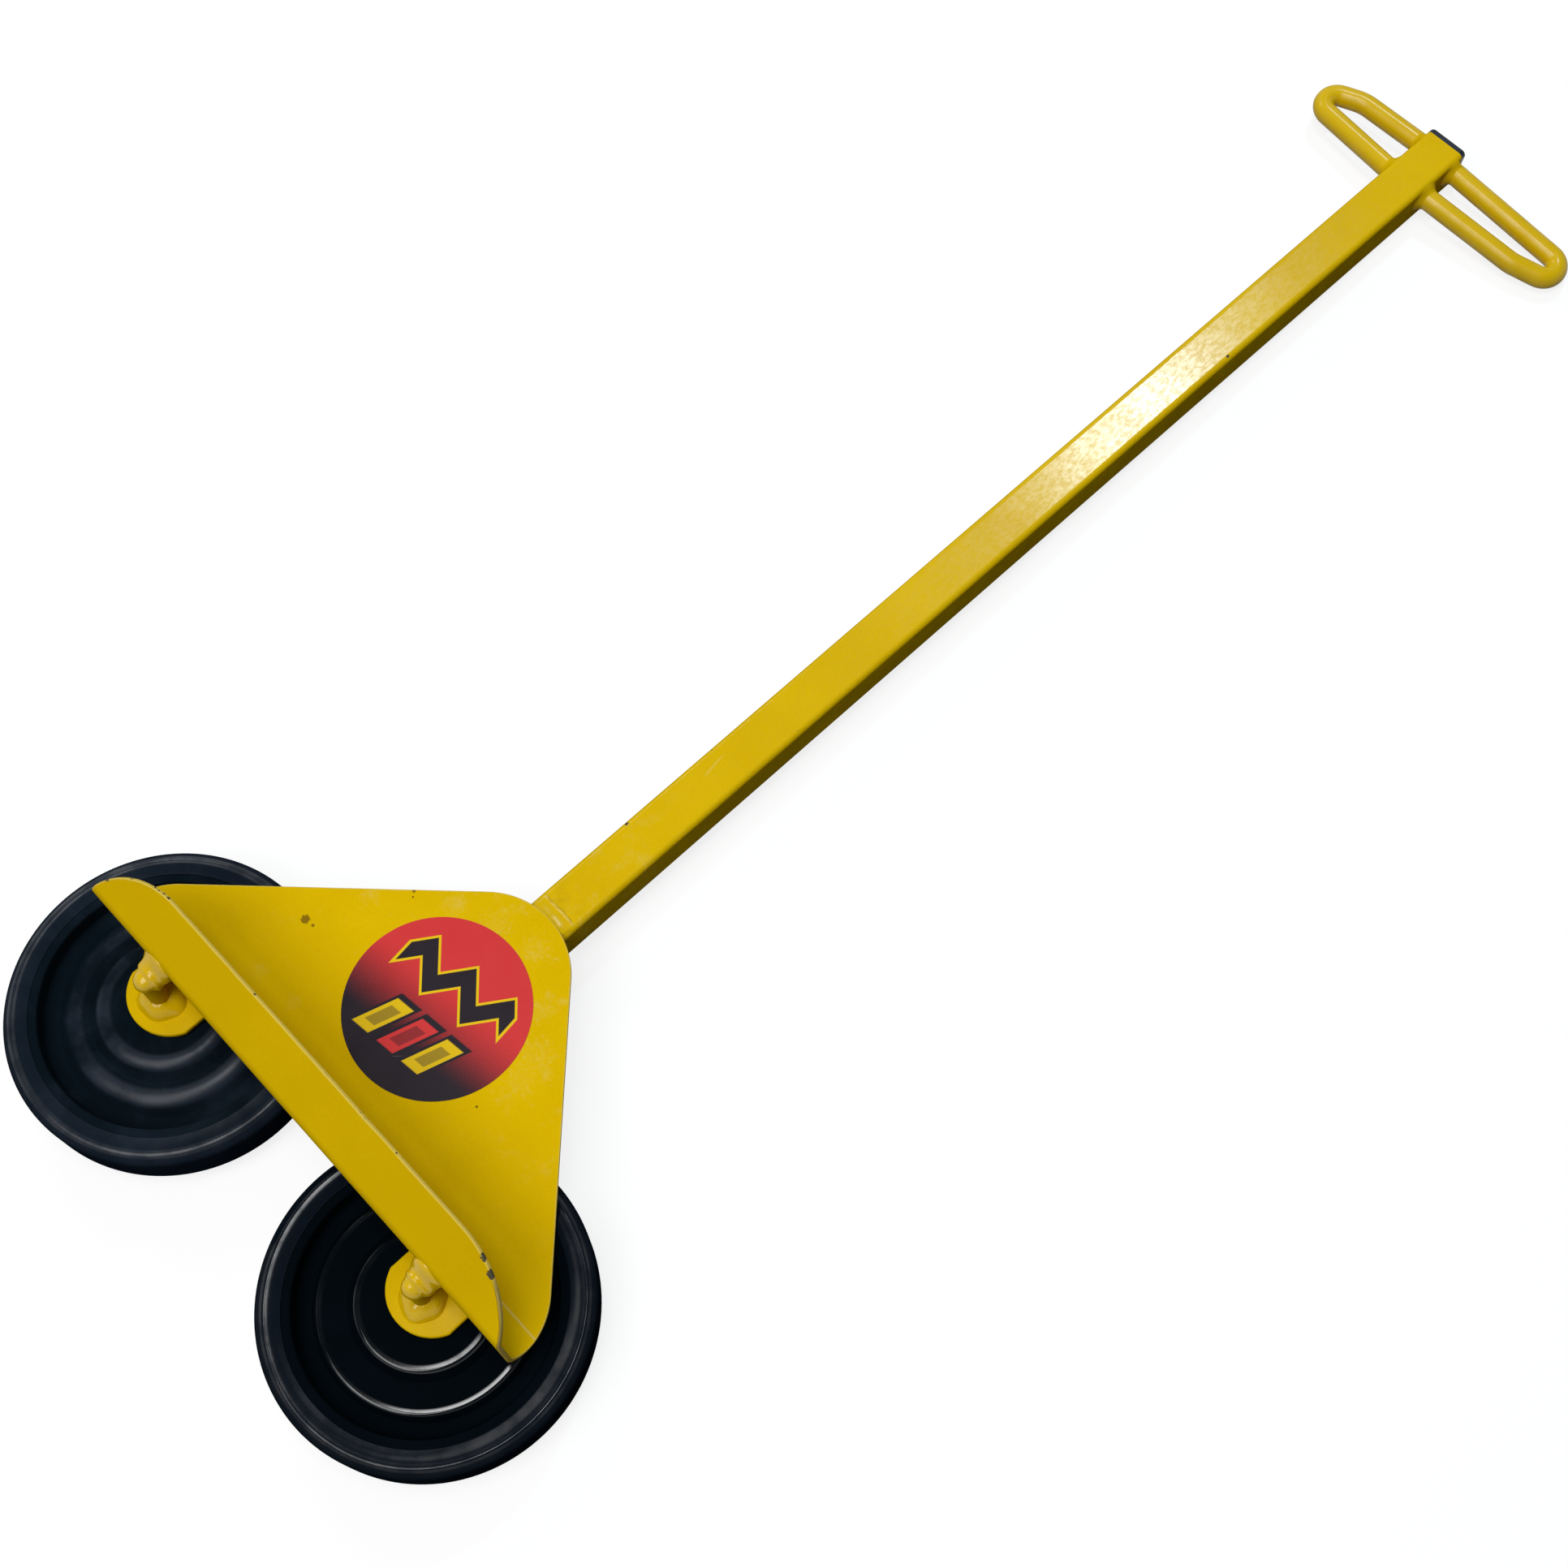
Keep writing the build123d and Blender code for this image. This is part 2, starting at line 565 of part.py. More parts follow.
def apex_weld():
    """The bead across the front of the tube, from the plate's round top to a straight toe."""
    toe = PLATE_TOP + APEX_WELD_LENGTH
    crest = PLATE_TOP - APEX_RADIUS / 8
    low = crest - OVERRUN
    points = [
        (low, PLATE_BACK), (toe, PLATE_BACK), (toe, PLATE_BACK + APEX_WELD_TOE),
        (crest, PLATE_FRONT), (low, PLATE_FRONT),
    ]
    wedge = extrude(
        Plane.YZ * make_face(Polyline(*points, close=True)),
        amount=TUBE_SIDE / 2 - TUBE_CORNER,
        both=True,
    )
    plate = Pos(0, 0, PLATE_BACK) * extrude(plate_outline(), amount=SHEET)
    return wedge - plate


def tube_side_welds():
    """A bead along each side of the tube, in the corner between the tube and the plate."""
    half = TUBE_SIDE / 2
    low = PLATE_BACK - TUBE_CORNER - TUBE_WELD_DEPTH
    end = PLATE_TOP - TUBE_WELD_INSET
    beads = []
    for side in SIDES.values():
        foot = side * (half + TUBE_WELD_LEG)
        points = [(side * half, PLATE_BACK), (foot, PLATE_BACK), (side * half, low)]
        section = Plane.XZ * make_face(Polyline(*points, close=True))
        bead = extrude(section, amount=end - TUBE_FOOT, dir=(0, -1, 0))
        beads.append((Pos(0, end, 0) * bead).solid())
    return Compound(children=beads)


def build_nodes():
    """Every piece by name, on the design axes."""
    nodes = {
        "carrier_plate": carrier_plate(),
        "plate_sticker": sticker(),
        "handle_tube": handle_tube(),
        "tube_end_cap": tube_end_cap(),
        "tube_apex_weld": apex_weld(),
        "tube_side_welds": tube_side_welds(),
    }
    for name, side in SIDES.items():
        nodes[f"{name}_hand_loop"] = hand_loop(side)
        nodes[f"{name}_loop_welds"] = loop_welds(side)
        nodes[f"{name}_axle_tab"] = axle_tab(side)
        nodes[f"{name}_tab_weld"] = tab_weld(side)
        nodes[f"{name}_axle"] = axle(side)
        nodes[f"{name}_axle_welds"] = axle_welds(side)
        nodes[f"{name}_inner_washer"] = washer(side, TAB_BACK - WASHER_THICKNESS)
        nodes[f"{name}_outer_washer"] = washer(side, WASHER_BACK)
        nodes[f"{name}_cotter_pin"] = cotter_pin(side)
        nodes[f"{name}_wheel_core"] = wheel_core(side)
        nodes[f"{name}_tyre"] = tyre(side)
        nodes[f"{name}_front_bush"] = bush(side, 1)
        nodes[f"{name}_rear_bush"] = bush(side, -1)
    return nodes


def rest_place(nodes):
    """Lay the dolly on its axle tails and the cap end of its handle, and centre its box."""
    tail = AXLE_DIAMETER / 2 - AXLE_TAIL_CHAMFER
    drop = -TUBE_SIDE / 2 - AXLE_BACK
    run = TUBE_TOP + CAP_FLANGE - CAP_EDGE_ROUND - tail
    turn = Rot(-math.degrees(math.atan2(drop, run)), 0, 0)
    box = (turn * Compound(children=[s for n in nodes.values() for s in n.solids()])).bounding_box()
    middle = box.center()
    return Pos(-middle.X, -middle.Y, -box.min.Z) * turn


def main():
    os.makedirs("parts", exist_ok=True)
    nodes = build_nodes()
    rest = rest_place(nodes)
    for name, shape in nodes.items():
        export_step(rest * shape, f"parts/{name}.step")
    places = {
        "left axle": (-AXLE_SPACING / 2, 0, WHEEL_MIDDLE),
        "right axle": (AXLE_SPACING / 2, 0, WHEEL_MIDDLE),
        "plate front": (0, PLATE_TOP - STICKER_BELOW_APEX, PLATE_FRONT),
        "trough floor": (0, TROUGH_FLOOR, (SEAT_CENTRE + FLOOR_END) / 2),
        "left loop": (-TUBE_SIDE / 2 - LEFT_LOOP_REACH, LOOP_SIZES[-1][2], LOOP_FORWARD),
        "right loop": (TUBE_SIDE / 2 + RIGHT_LOOP_REACH, LOOP_SIZES[1][2], LOOP_FORWARD),
    }
    for name, point in places.items():
        spot = (rest * Pos(*point)).position
        print(name, [round(c, 4) for c in spot])
    lean = (rest * Plane.XY).z_dir
    print("front direction", [round(c, 6) for c in lean])


if __name__ == "__main__":
    main()
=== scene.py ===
"""Looks of a panel dolly, laid out as a Blender add-on and run as a script.

The packed model is the fixed frame. The folded carrier plate, the axle tabs, the weld beads, the
wheel cores and the tyres are worked out with numpy; the other pieces keep their solids and get a
finish.
Shapes are worked out on the dolly's own axes: u along the trough, v up the handle and w out of
the front of the plate, all in metres.
"""

import functools
import json
import math

import bmesh
import bpy
import numpy as np
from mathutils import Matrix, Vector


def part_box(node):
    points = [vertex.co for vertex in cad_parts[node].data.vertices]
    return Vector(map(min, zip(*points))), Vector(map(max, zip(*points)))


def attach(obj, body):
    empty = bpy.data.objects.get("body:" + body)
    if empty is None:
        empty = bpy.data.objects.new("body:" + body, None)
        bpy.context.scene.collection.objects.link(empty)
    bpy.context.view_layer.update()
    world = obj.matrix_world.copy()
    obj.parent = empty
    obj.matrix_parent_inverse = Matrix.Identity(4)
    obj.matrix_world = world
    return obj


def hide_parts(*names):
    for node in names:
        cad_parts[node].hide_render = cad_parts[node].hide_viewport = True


bl_info = {
    "name": "Panel dolly looks",
    "version": (1, 0, 0),
    "blender": (4, 5, 0),
    "location": "3D View > Sidebar > Panel dolly",
    "description": "Folded sheet, weld beads, finishes and studio of a two-wheeled panel dolly",
    "category": "Object",
}

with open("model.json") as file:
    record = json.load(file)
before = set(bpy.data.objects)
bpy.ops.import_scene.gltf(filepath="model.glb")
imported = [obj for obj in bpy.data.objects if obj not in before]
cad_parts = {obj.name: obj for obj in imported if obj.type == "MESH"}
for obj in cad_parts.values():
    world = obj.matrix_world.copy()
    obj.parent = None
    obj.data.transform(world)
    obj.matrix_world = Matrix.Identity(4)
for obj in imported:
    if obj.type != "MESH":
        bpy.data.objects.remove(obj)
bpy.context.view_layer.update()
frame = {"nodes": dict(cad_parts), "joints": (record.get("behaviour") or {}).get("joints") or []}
NODES = frame["nodes"]

# The dolly's own axes in the frame, read from the two wheel joints
JOINTS = {joint["name"]: joint for joint in frame["joints"]}
LEFT_WHEEL = np.array(JOINTS["left_wheel_spin"]["pos_m"])
RIGHT_WHEEL = np.array(JOINTS["right_wheel_spin"]["pos_m"])
OUT = np.array(JOINTS["left_wheel_spin"]["axis"])
SPACING = float(np.linalg.norm(RIGHT_WHEEL - LEFT_WHEEL))
ACROSS = (RIGHT_WHEEL - LEFT_WHEEL) / SPACING
UP = np.cross(OUT, ACROSS)
AXES = np.stack([ACROSS, UP, OUT])
LEAN = -math.atan2(OUT[1], OUT[2])
WHEEL_LEVEL = -0.01055
ORIGIN = (LEFT_WHEEL + RIGHT_WHEEL) / 2 - WHEEL_LEVEL * OUT
SIDES = {"left": -1, "right": 1}


def sidebar(kind, **settings):
    """A maker of one kind of value that the sidebar can change, from its name, default and description."""
    return lambda name, default, text: kind(name=name, default=default, description=text, **settings)


number = sidebar(bpy.props.FloatProperty)
length = sidebar(bpy.props.FloatProperty, unit="LENGTH", precision=5)
angle = sidebar(bpy.props.FloatProperty, subtype="ANGLE")
share = sidebar(bpy.props.FloatProperty, min=0, max=1, subtype="FACTOR")
watts = sidebar(bpy.props.FloatProperty, unit="POWER")
colour = sidebar(bpy.props.FloatVectorProperty, size=3, min=0, max=1, subtype="COLOR")
place = sidebar(bpy.props.FloatVectorProperty, size=3, subtype="XYZ", unit="LENGTH")
angles = sidebar(bpy.props.FloatVectorProperty, size=3, subtype="EULER")


class DollySheet(bpy.types.PropertyGroup):
    """Sizes of the folded carrier plate and the axle tabs."""

    thickness: length("Thickness", 0.003, "Gauge of the folded sheet")
    plate_top: length("Plate top", 0.2074, "Top of the plate above the axles")
    plate_front: length("Plate front", 0.0195, "Front of the plate before the tube's middle")
    apex_radius: length("Apex radius", 0.056, "Round at the top of the plate")
    edge_angle: angle("Edge angle", math.radians(45), "Slope of the plate's two upper edges")
    corner_radius: length("Corner radius", 0.05, "Round where an upper edge meets the side")
    trough_length: length("Trough length", 0.382, "Width of the plate along the trough")
    seat_level: length("Seat level", 0.033, "Where the plate starts to curve into the trough")
    seat_bend: length("Seat bend", 0.019, "Inside radius of the bend below the plate")
    floor_flat: length("Floor", 0.028, "Flat floor of the trough")
    lip_bend: length("Lip bend", 0.008, "Inside radius of the bend below the lip")
    lip_angle: angle("Lip angle", math.radians(45), "How far the lip is folded up")
    lip_length: length("Lip length", 0.036, "Straight part of the lip")
    lip_corner: length("Lip corner", 0.061, "Round at the ends of the lip")
    edge_round: length("Edge round", 0.0007, "Round on the sheet's cut edge")
    edge_wave: length("Edge wave", 0.00014, "Knocks along the lip's free edge")
    tab_width: length("Tab width", 0.0535, "Width of an axle tab")
    tab_back: length("Tab back", 0.0115, "Back of an axle tab")
    tab_front: length("Tab front", 0.0165, "Front of an axle tab")
    tab_rise: length("Tab rise", 0.072, "Top of an axle tab above its axle")
    tab_shoulder: length("Tab shoulder", 0.003, "How far the straight sides pass the axle")
    tab_end: length("Tab end", 0.029, "Radius of the tab's lower end")
    tab_round: length("Tab edge round", 0.0014, "Round on the tab's edges")


class DollyWelds(bpy.types.PropertyGroup):
    """Sizes of the weld beads and of what they join."""

    rod: length("Axle rod", 0.0127, "Diameter of the axles")
    rod_front: length("Axle nose", 0.060, "Front end of the axles")
    axle_leg: length("Axle bead", 0.0090, "Leg of the bead round an axle")
    nugget: length("Nugget", 0.0077, "Radius of the nugget on an axle's nose")
    nugget_waist: length("Nugget waist", 0.0098, "Radius of the neck from the nugget to the trough")
    nugget_flare: length("Nugget flare", 0.0118, "Radius of that neck on the trough")
    underside: length("Trough underside", 0.011, "Level of the trough's underside")
    tab_leg: length("Tab bead", 0.004, "Leg of the bead round a tab")
    tube: length("Tube", 0.033, "Side of the handle tube")
    tube_corner: length("Tube corner", 0.004, "Corner radius of the handle tube")
    tube_foot: length("Tube foot", 0.040, "Lower end of the tube")
    tube_top: length("Tube top", 1.0954, "Upper end of the tube")
    tube_leg: length("Tube bead", 0.005, "Leg of the beads along the tube")
    apex_leg: length("Apex bead", 0.0098, "Length of the bead across the tube")
    loop_rod: length("Loop rod", 0.015875, "Diameter of the hand loops' rod")
    loop_leg: length("Loop bead", 0.005, "Leg of the beads round the hand loops")
    loop_forward: length("Loop forward", 0.0035, "How far the loops sit before the tube's middle")
    pitch: length("Ripple pitch", 0.0026, "Distance from one ripple of a bead to the next")
    ripple: length("Ripple height", 0.0005, "Height of the ripples")


class DollyWheels(bpy.types.PropertyGroup):
    """Sizes of the wheel cores and tyres."""

    radius: length("Wheel radius", 0.1016, "Tread of the tyre")
    half_width: length("Half width", 0.01905, "Side wall of the tyre from the wheel's middle")
    tyre_bore: length("Tyre bore", 0.0850, "Where the tyre meets the core")
    shoulder: length("Shoulder", 0.0056, "How far the tread is rounded off at its edges")
    rim: length("Rim", 0.07948, "Inner edge of the core's rim")
    rim_face: length("Rim face", 0.01865, "Face of the rim from the wheel's middle")
    web: length("Web", 0.006, "Half of the web's thickness")
    disc: length("Disc", 0.0065, "Rise of the raised disc over the web")
    hub_rise: length("Hub rise", 0.0075, "Rise of the hub over the disc")
    bush_pocket: length("Bush pocket", 0.0142, "Radius of the pocket for a bush's flange")
    bush_seat: length("Bush seat", 0.0183, "Bottom of that pocket from the wheel's middle")
    bush_bore: length("Bush bore", 0.00985, "Radius of the bore for a bush")


class DollyFinish(bpy.types.PropertyGroup):
    """Colours and roughness of the finishes."""

    yellow: colour("Yellow", (0.725, 0.478, 0.0016), "Fresh enamel")
    yellow_deep: colour("Deep yellow", (0.64, 0.405, 0.001), "Enamel where it has darkened")
    # Also the colour of painted highlights on the sheet's cut edges and on the apex bead's toe.
    pale_yellow_and_highlight: colour("Pale yellow", (0.70, 0.56, 0.16), "Enamel rubbed thin or scuffed")
    steel: colour("Bare steel", (0.085, 0.074, 0.040), "Steel where the enamel has chipped off")
    # This colour is also painted as shade on the handle tube's sides.
    grime_and_shade: colour("Grime", (0.16, 0.082, 0.007), "Dirt in the corners")
    enamel_gloss: share("Enamel roughness", 0.30, "Roughness of clean enamel")
    rubber: colour("Rubber", (0.0065, 0.0115, 0.0200), "Tyres")
    plastic: colour("Core plastic", (0.0040, 0.0085, 0.0130), "Wheel cores")
    red: colour("Sticker red", (0.62, 0.036, 0.036), "Upper part of the sticker")
    ink: colour("Sticker black", (0.017, 0.012, 0.018), "Lower part of the sticker")
    zinc: colour("Zinc", (0.56, 0.57, 0.58), "Washers, pins and bare axles")
    nylon: colour("Nylon", (0.62, 0.60, 0.53), "Wheel bushes")
    cap: colour("Cap", (0.012, 0.013, 0.018), "End cap of the tube")


class DollyStudio(bpy.types.PropertyGroup):
    """Camera, lamps and backdrop."""

    camera: place("Camera", (0.40098, -0.46883, 1.30571), "Where the camera stands")
    camera_turn: angles("Camera turn", [math.radians(a) for a in (21.8918, 0.0674, 46.2434)], "Turn of the camera")
    lens: number("Lens", 48.109, "Focal length in millimetres")
    key: place("Key lamp", (0.02, -2.25, 3.60), "Broad lamp before the wheels")
    key_size: length("Key size", 2.2, "Side of the key lamp")
    key_power: watts("Key power", 79, "Watts of the key lamp")
    side: place("Side lamp", (-2.25, 0.35, 1.80), "Lamp to the left of the tube")
    side_size: length("Side size", 0.8, "Side of the side lamp")
    side_power: watts("Side power", 14, "Watts of the side lamp")
    fill: place("Fill lamp", (0.05, -0.38, 3.60), "Lamp over the plate")
    fill_size: length("Fill size", 1.0, "Side of the fill lamp")
    fill_power: watts("Fill power", 41, "Watts of the fill lamp")
    glint: place("Glint lamp", (-0.59, 1.39, 1.84), "Lamp that the tube mirrors")
    glint_size: length("Glint size", 0.17, "Side of the glint lamp")
    glint_power: watts("Glint power", 12, "Watts of the glint lamp")
    glint_tint: colour("Glint tint", (0.72, 0.88, 1.0), "Cool daylight of the glint lamp")
    sky: number("Sky", 0.15, "Even light from all round")
    floor_paint: share("Floor paint", 0.20, "Grey of the floor that takes the shadow")
    floor_glow: share("Floor glow", 0.82, "White that the camera sees on top of that grey")
    floor_radius: length("Floor radius", 6.0, "Where the floor turns up into the backdrop")
    backdrop: length("Backdrop height", 5.0, "Top of the backdrop")


def to_frame(points):
    """Points on the dolly's own axes (u, v, w) as points in the frame."""
    return ORIGIN + np.asarray(points, float) @ AXES


def stack(*parts):
    """Numbers and arrays side by side along a new last axis."""
    return np.stack(np.broadcast_arrays(*parts), -1)


def grid_faces(rows, columns, start=0, ring=False, flip=False):
    """Quads between neighbouring points of a grid kept row by row; ring joins the last column to the first."""
    i, j = np.meshgrid(np.arange(rows - 1), np.arange(columns if ring else columns - 1), indexing="ij")
    k = (j + 1) % columns
    quads = np.stack([i * columns + j, i * columns + k, (i + 1) * columns + k, (i + 1) * columns + j], -1)
    quads = quads.reshape(-1, 4) + start
    return quads[:, ::-1] if flip else quads


def make_piece(name, points, faces, values=None, *, sharp):
    """A smooth closed mesh from points in the frame, with doubles merged and faces turned outwards.

    Edges sharper than so many degrees stay sharp.
    """
    mesh = bpy.data.meshes.new(name)
    mesh.from_pydata(np.asarray(points).tolist(), [], [list(f) for f in faces])
    for key, data in (values or {}).items():
        kind, field = ("FLOAT_VECTOR", "vector") if data.ndim == 2 else ("FLOAT", "value")
        mesh.attributes.new(key, kind, "POINT").data.foreach_set(field, data.astype(np.float32).ravel())
    work = bmesh.new()
    work.from_mesh(mesh)
    bmesh.ops.remove_doubles(work, verts=work.verts, dist=2e-6)
    bmesh.ops.dissolve_degenerate(work, edges=work.edges, dist=1e-7)
    bmesh.ops.recalc_face_normals(work, faces=work.faces)
    work.to_mesh(mesh)
    work.free()
    mesh.polygons.foreach_set("use_smooth", np.ones(len(mesh.polygons), bool))
    mesh.set_sharp_from_angle(angle=math.radians(sharp))
    piece = bpy.data.objects.new(name, mesh)
    bpy.context.scene.collection.objects.link(piece)
    return piece


def dress(piece, body, slot, material, *stands_for):
    """Hang a new piece on its body, give it its finish and hide what it stands for. The slot is not used."""
    piece.data.materials.clear()
    piece.data.materials.append(material)
    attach(piece, body)
    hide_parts(*stands_for)


def paint_node(name, material):
    """Give a solid that keeps its shape a finish of its own."""
    node = NODES[name]
    node.data.materials.clear()
    node.data.materials.append(material)


# Folded carrier plate

SHEET_COLUMNS = 73
SEAT_BEND_POINTS, LIP_BEND_POINTS = 24, 12
EDGE_POINTS = 5
KNOCK_REACH = 0.03


def bend_stations(size):
    """Where the seat bend and the lip bend start and end, measured down the sheet from its top."""
    seat, lip = size.seat_bend * math.pi / 2, size.lip_bend * size.lip_angle
    return np.cumsum([size.plate_top - size.seat_level, seat, size.floor_flat, lip]).tolist()


def free_edge(size):
    """Where the lip ends, measured down the sheet from its top."""
    return bend_stations(size)[-1] + size.lip_length


def sheet_section(q, size):
    """The sheet's panel side seen from its end: point, normal and running direction, each as (v, w).

    q runs from the plate's top down the plate, round the seat bend by q / radius, out along the
    floor, round the lip bend and up the lip. The turn a of the section gives the running
    direction (-cos a, sin a) and the normal (sin a, cos a).
    """
    floor = size.seat_level - size.seat_bend
    turn = bend_stations(size)
    last = math.pi / 2 + size.lip_angle
    a = np.interp(q, turn, [0, math.pi / 2, math.pi / 2, last])
    normal, run = stack(np.sin(a), np.cos(a)), stack(-np.cos(a), np.sin(a))
    seat = np.array([size.seat_level, size.plate_front + size.seat_bend])
    fold = np.array([floor + size.lip_bend, seat[1] + size.floor_flat])
    lip = fold - size.lip_bend * np.array([math.sin(last), math.cos(last)])
    flat = stack(size.plate_top - q, size.plate_front)
    level = stack(floor, seat[1] + q - turn[1])
    rising = lip + (q - turn[3])[:, None] * run
    parts = [flat, seat - size.seat_bend * normal, level, fold - size.lip_bend * normal, rising]
    which = np.searchsorted(turn, q, side="right")
    return np.choose(which[:, None], parts), normal, run


def sheet_outline(size, end):
    """The right half of the flat cut sheet from the apex down: (half width, q) and its outward normal.

    An arc round the apex, a straight slope, an arc into the straight side, and an arc round the
    lip's corner that ends on the free edge. Each stretch also has a point at every station of
    the bends that it crosses, so that the folded sheet stays round there.
    """
    half, slope = size.trough_length / 2, size.edge_angle
    big, small, lip = size.apex_radius, size.corner_radius, size.lip_corner
    seat, floor, fold, rise = bend_stations(size)
    bends = np.concatenate([np.linspace(seat, floor, SEAT_BEND_POINTS), np.linspace(fold, rise, LIP_BEND_POINTS)])

    def stations(q):
        inside = bends[(bends > q[0]) & (bends < q[-1])]
        return np.unique(np.concatenate([q, inside]))

    peak = big - big / math.cos(slope)
    mid = np.array([half - small, peak + half * math.tan(slope) + small * math.tan((math.pi / 2 - slope) / 2)])
    apex = np.linspace(0, slope, 30)
    corner = stations(mid[1] - small * np.cos(np.linspace(slope, math.pi / 2, 20)))
    corner = np.arccos(np.clip((mid[1] - corner) / small, 0, 1))
    sides = stations(np.linspace(mid[1], end - lip, 8))[1:-1]
    tip = stations(end - lip + lip * np.sin(np.linspace(0, math.pi / 2, 34)))
    tip = np.arcsin(np.clip((tip - end + lip) / lip, 0, 1))
    one, two = stack(np.sin(apex), -np.cos(apex)), stack(np.sin(corner), -np.cos(corner))
    three, four = stack(np.ones_like(sides), 0), stack(np.cos(tip), np.sin(tip))
    first = np.array([0, big]) + big * one
    second = mid + small * two
    steps = np.linspace(0, 1, 16)[1:-1, None]
    slant = first[-1] + steps * (second[0] - first[-1])
    points = [first, slant, second, stack(half, sides), np.array([half - lip, end - lip]) + lip * four]
    normals = [one, np.repeat(one[-1:], len(slant), 0), two, three, four]
    return np.concatenate(points), np.concatenate(normals)


def folded_sheet(size):
    """The carrier plate as a closed folded sheet with a rounded cut edge.

    Panel side and back are grids of rows straight across the sheet, from the left to the right
    of the cut outline drawn in by the edge round. The edge is a C-shaped profile of two quarter
    rounds, carried round that outline. Small knocks move the lip's free edge along its normal.
    """
    end = free_edge(size)
    outline, outward = sheet_outline(size, end)
    inset = outline - size.edge_round * outward
    t = np.sin(np.linspace(-1, 1, SHEET_COLUMNS) * math.pi / 2)
    q = inset[:, 1]
    point, normal, run = sheet_section(q, size)
    across = inset[:, :1] * t
    rows, columns = across.shape
    lift = np.clip((q - end + KNOCK_REACH) / KNOCK_REACH, 0, 1)[:, None] ** 2
    knock = np.sin(across * 37 + 0.4) * np.sin(across * 83 + 1.3) + 0.3 * np.sin(across * 211)
    move = size.edge_wave * lift * knock
    face_normal = stack(0 * across, normal[:, :1], normal[:, 1:])
    front = stack(across, point[:, :1], point[:, 1:]) + move[..., None] * face_normal
    back = front - size.thickness * face_normal
    flat = stack(across, q[:, None], 0)
    right = [(i, columns - 1) for i in range(rows)]
    free = [(rows - 1, j) for j in range(columns - 2, 0, -1)]
    left = [(i, 0) for i in range(rows - 1, 0, -1)]
    i, j = np.array(right + free + left).T
    side = np.repeat([1, 0, -1], [len(right), len(free), len(left)])
    down = np.where(side == 0, 1, outward[i, 1])
    ahead = stack(outward[i, 0] * side, down * run[i, 0], down * run[i, 1])
    quarter = np.linspace(0, math.pi / 2, EDGE_POINTS)
    out = size.edge_round * np.concatenate([np.sin(quarter), np.sin(quarter[::-1])])
    deep = size.edge_round * (1 - np.cos(quarter))
    deep = np.concatenate([deep, size.thickness - deep[::-1]])
    edge = front[i, j] + out[:, None, None] * ahead - deep[:, None, None] * face_normal[i, j]
    edge_flat = stack(flat[i, j, 0], flat[i, j, 1], deep[:, None])
    free_cut = stack(np.linspace(-1, 1, 200) * outline[-1, 0], end)
    cut = np.concatenate([outline, (outline * [-1, 1])[::-1], free_cut])
    spots = flat[..., :2].reshape(-1, 2)
    rim = np.sqrt(((spots[:, None] - cut[None]) ** 2).sum(-1).min(1))
    count = rows * columns
    points = np.concatenate([front.reshape(-1, 3), back.reshape(-1, 3), edge.reshape(-1, 3)])
    back_flat = flat.reshape(-1, 3) + [0, 0, size.thickness]
    place_on = np.concatenate([flat.reshape(-1, 3), back_flat, edge_flat.reshape(-1, 3)])
    edge_rim = np.repeat(size.edge_round - out, len(i))
    values = {"flat": place_on, "rim": np.concatenate([rim, rim, edge_rim])}
    faces = np.concatenate([
        grid_faces(rows, columns), grid_faces(rows, columns, count, flip=True),
        grid_faces(len(out), len(i), 2 * count, ring=True),
    ])
    return make_piece("folded_plate", to_frame(points), faces, values, sharp=60)


def axle_tab(name, side, size):
    """One tab as a slab: its outline, straight sides and a round end, carried through the thickness.

    Quarter rounds run in from both faces, and each face closes on the middle of the tab.
    """
    half = size.tab_width / 2
    low = math.asin(half / size.tab_end)
    drop = size.tab_end - size.tab_end * math.cos(low)
    a = np.linspace(-low, low, 40)
    arc = stack(size.tab_end * np.sin(a), -size.tab_shoulder - drop + size.tab_end - size.tab_end * np.cos(a))
    up = np.linspace(-size.tab_shoulder, size.tab_rise, 24)[1:]
    top = np.linspace(half, -half, 16)[1:-1]
    ring = np.concatenate([arc, stack(half, up), stack(top, size.tab_rise), stack(-half, up[::-1])])
    step = np.roll(ring, -1, 0) - np.roll(ring, 1, 0)
    outward = stack(step[:, 1], -step[:, 0]) / np.linalg.norm(step, axis=1)[:, None]
    quarter = np.linspace(0, math.pi / 2, EDGE_POINTS)
    r = size.tab_round
    inset = np.concatenate([[0.9], r * (1 - np.sin(quarter)), r * (1 - np.sin(quarter[::-1])), [0.9]])
    rise = r * (1 - np.cos(quarter))
    level = np.concatenate([[size.tab_back], size.tab_back + rise, size.tab_front - rise[::-1], [size.tab_front]])
    middle = ring.mean(0)
    inside = np.where((inset > 0.5)[:, None, None], middle, ring - np.minimum(inset, 0.1)[:, None, None] * outward)
    shape = stack(inside[..., 0] + side * SPACING / 2, inside[..., 1], level[:, None])
    faces = grid_faces(len(level), len(ring), ring=True)
    return make_piece(name, to_frame(shape.reshape(-1, 3)), faces, sharp=40)


# Weld beads

BEAD_POINTS = 15
LOOP_POINTS = 120
TAPER = 0.006  # length over which an open bead narrows
ROOT = 0.0002  # how far a bead sinks into what it joins
NUGGET_OVERLAP = 0.0016
NUGGET_SET_BACK = 0.006
APEX_OVERLAP = 0.0008
APEX_SINK = 0.0015


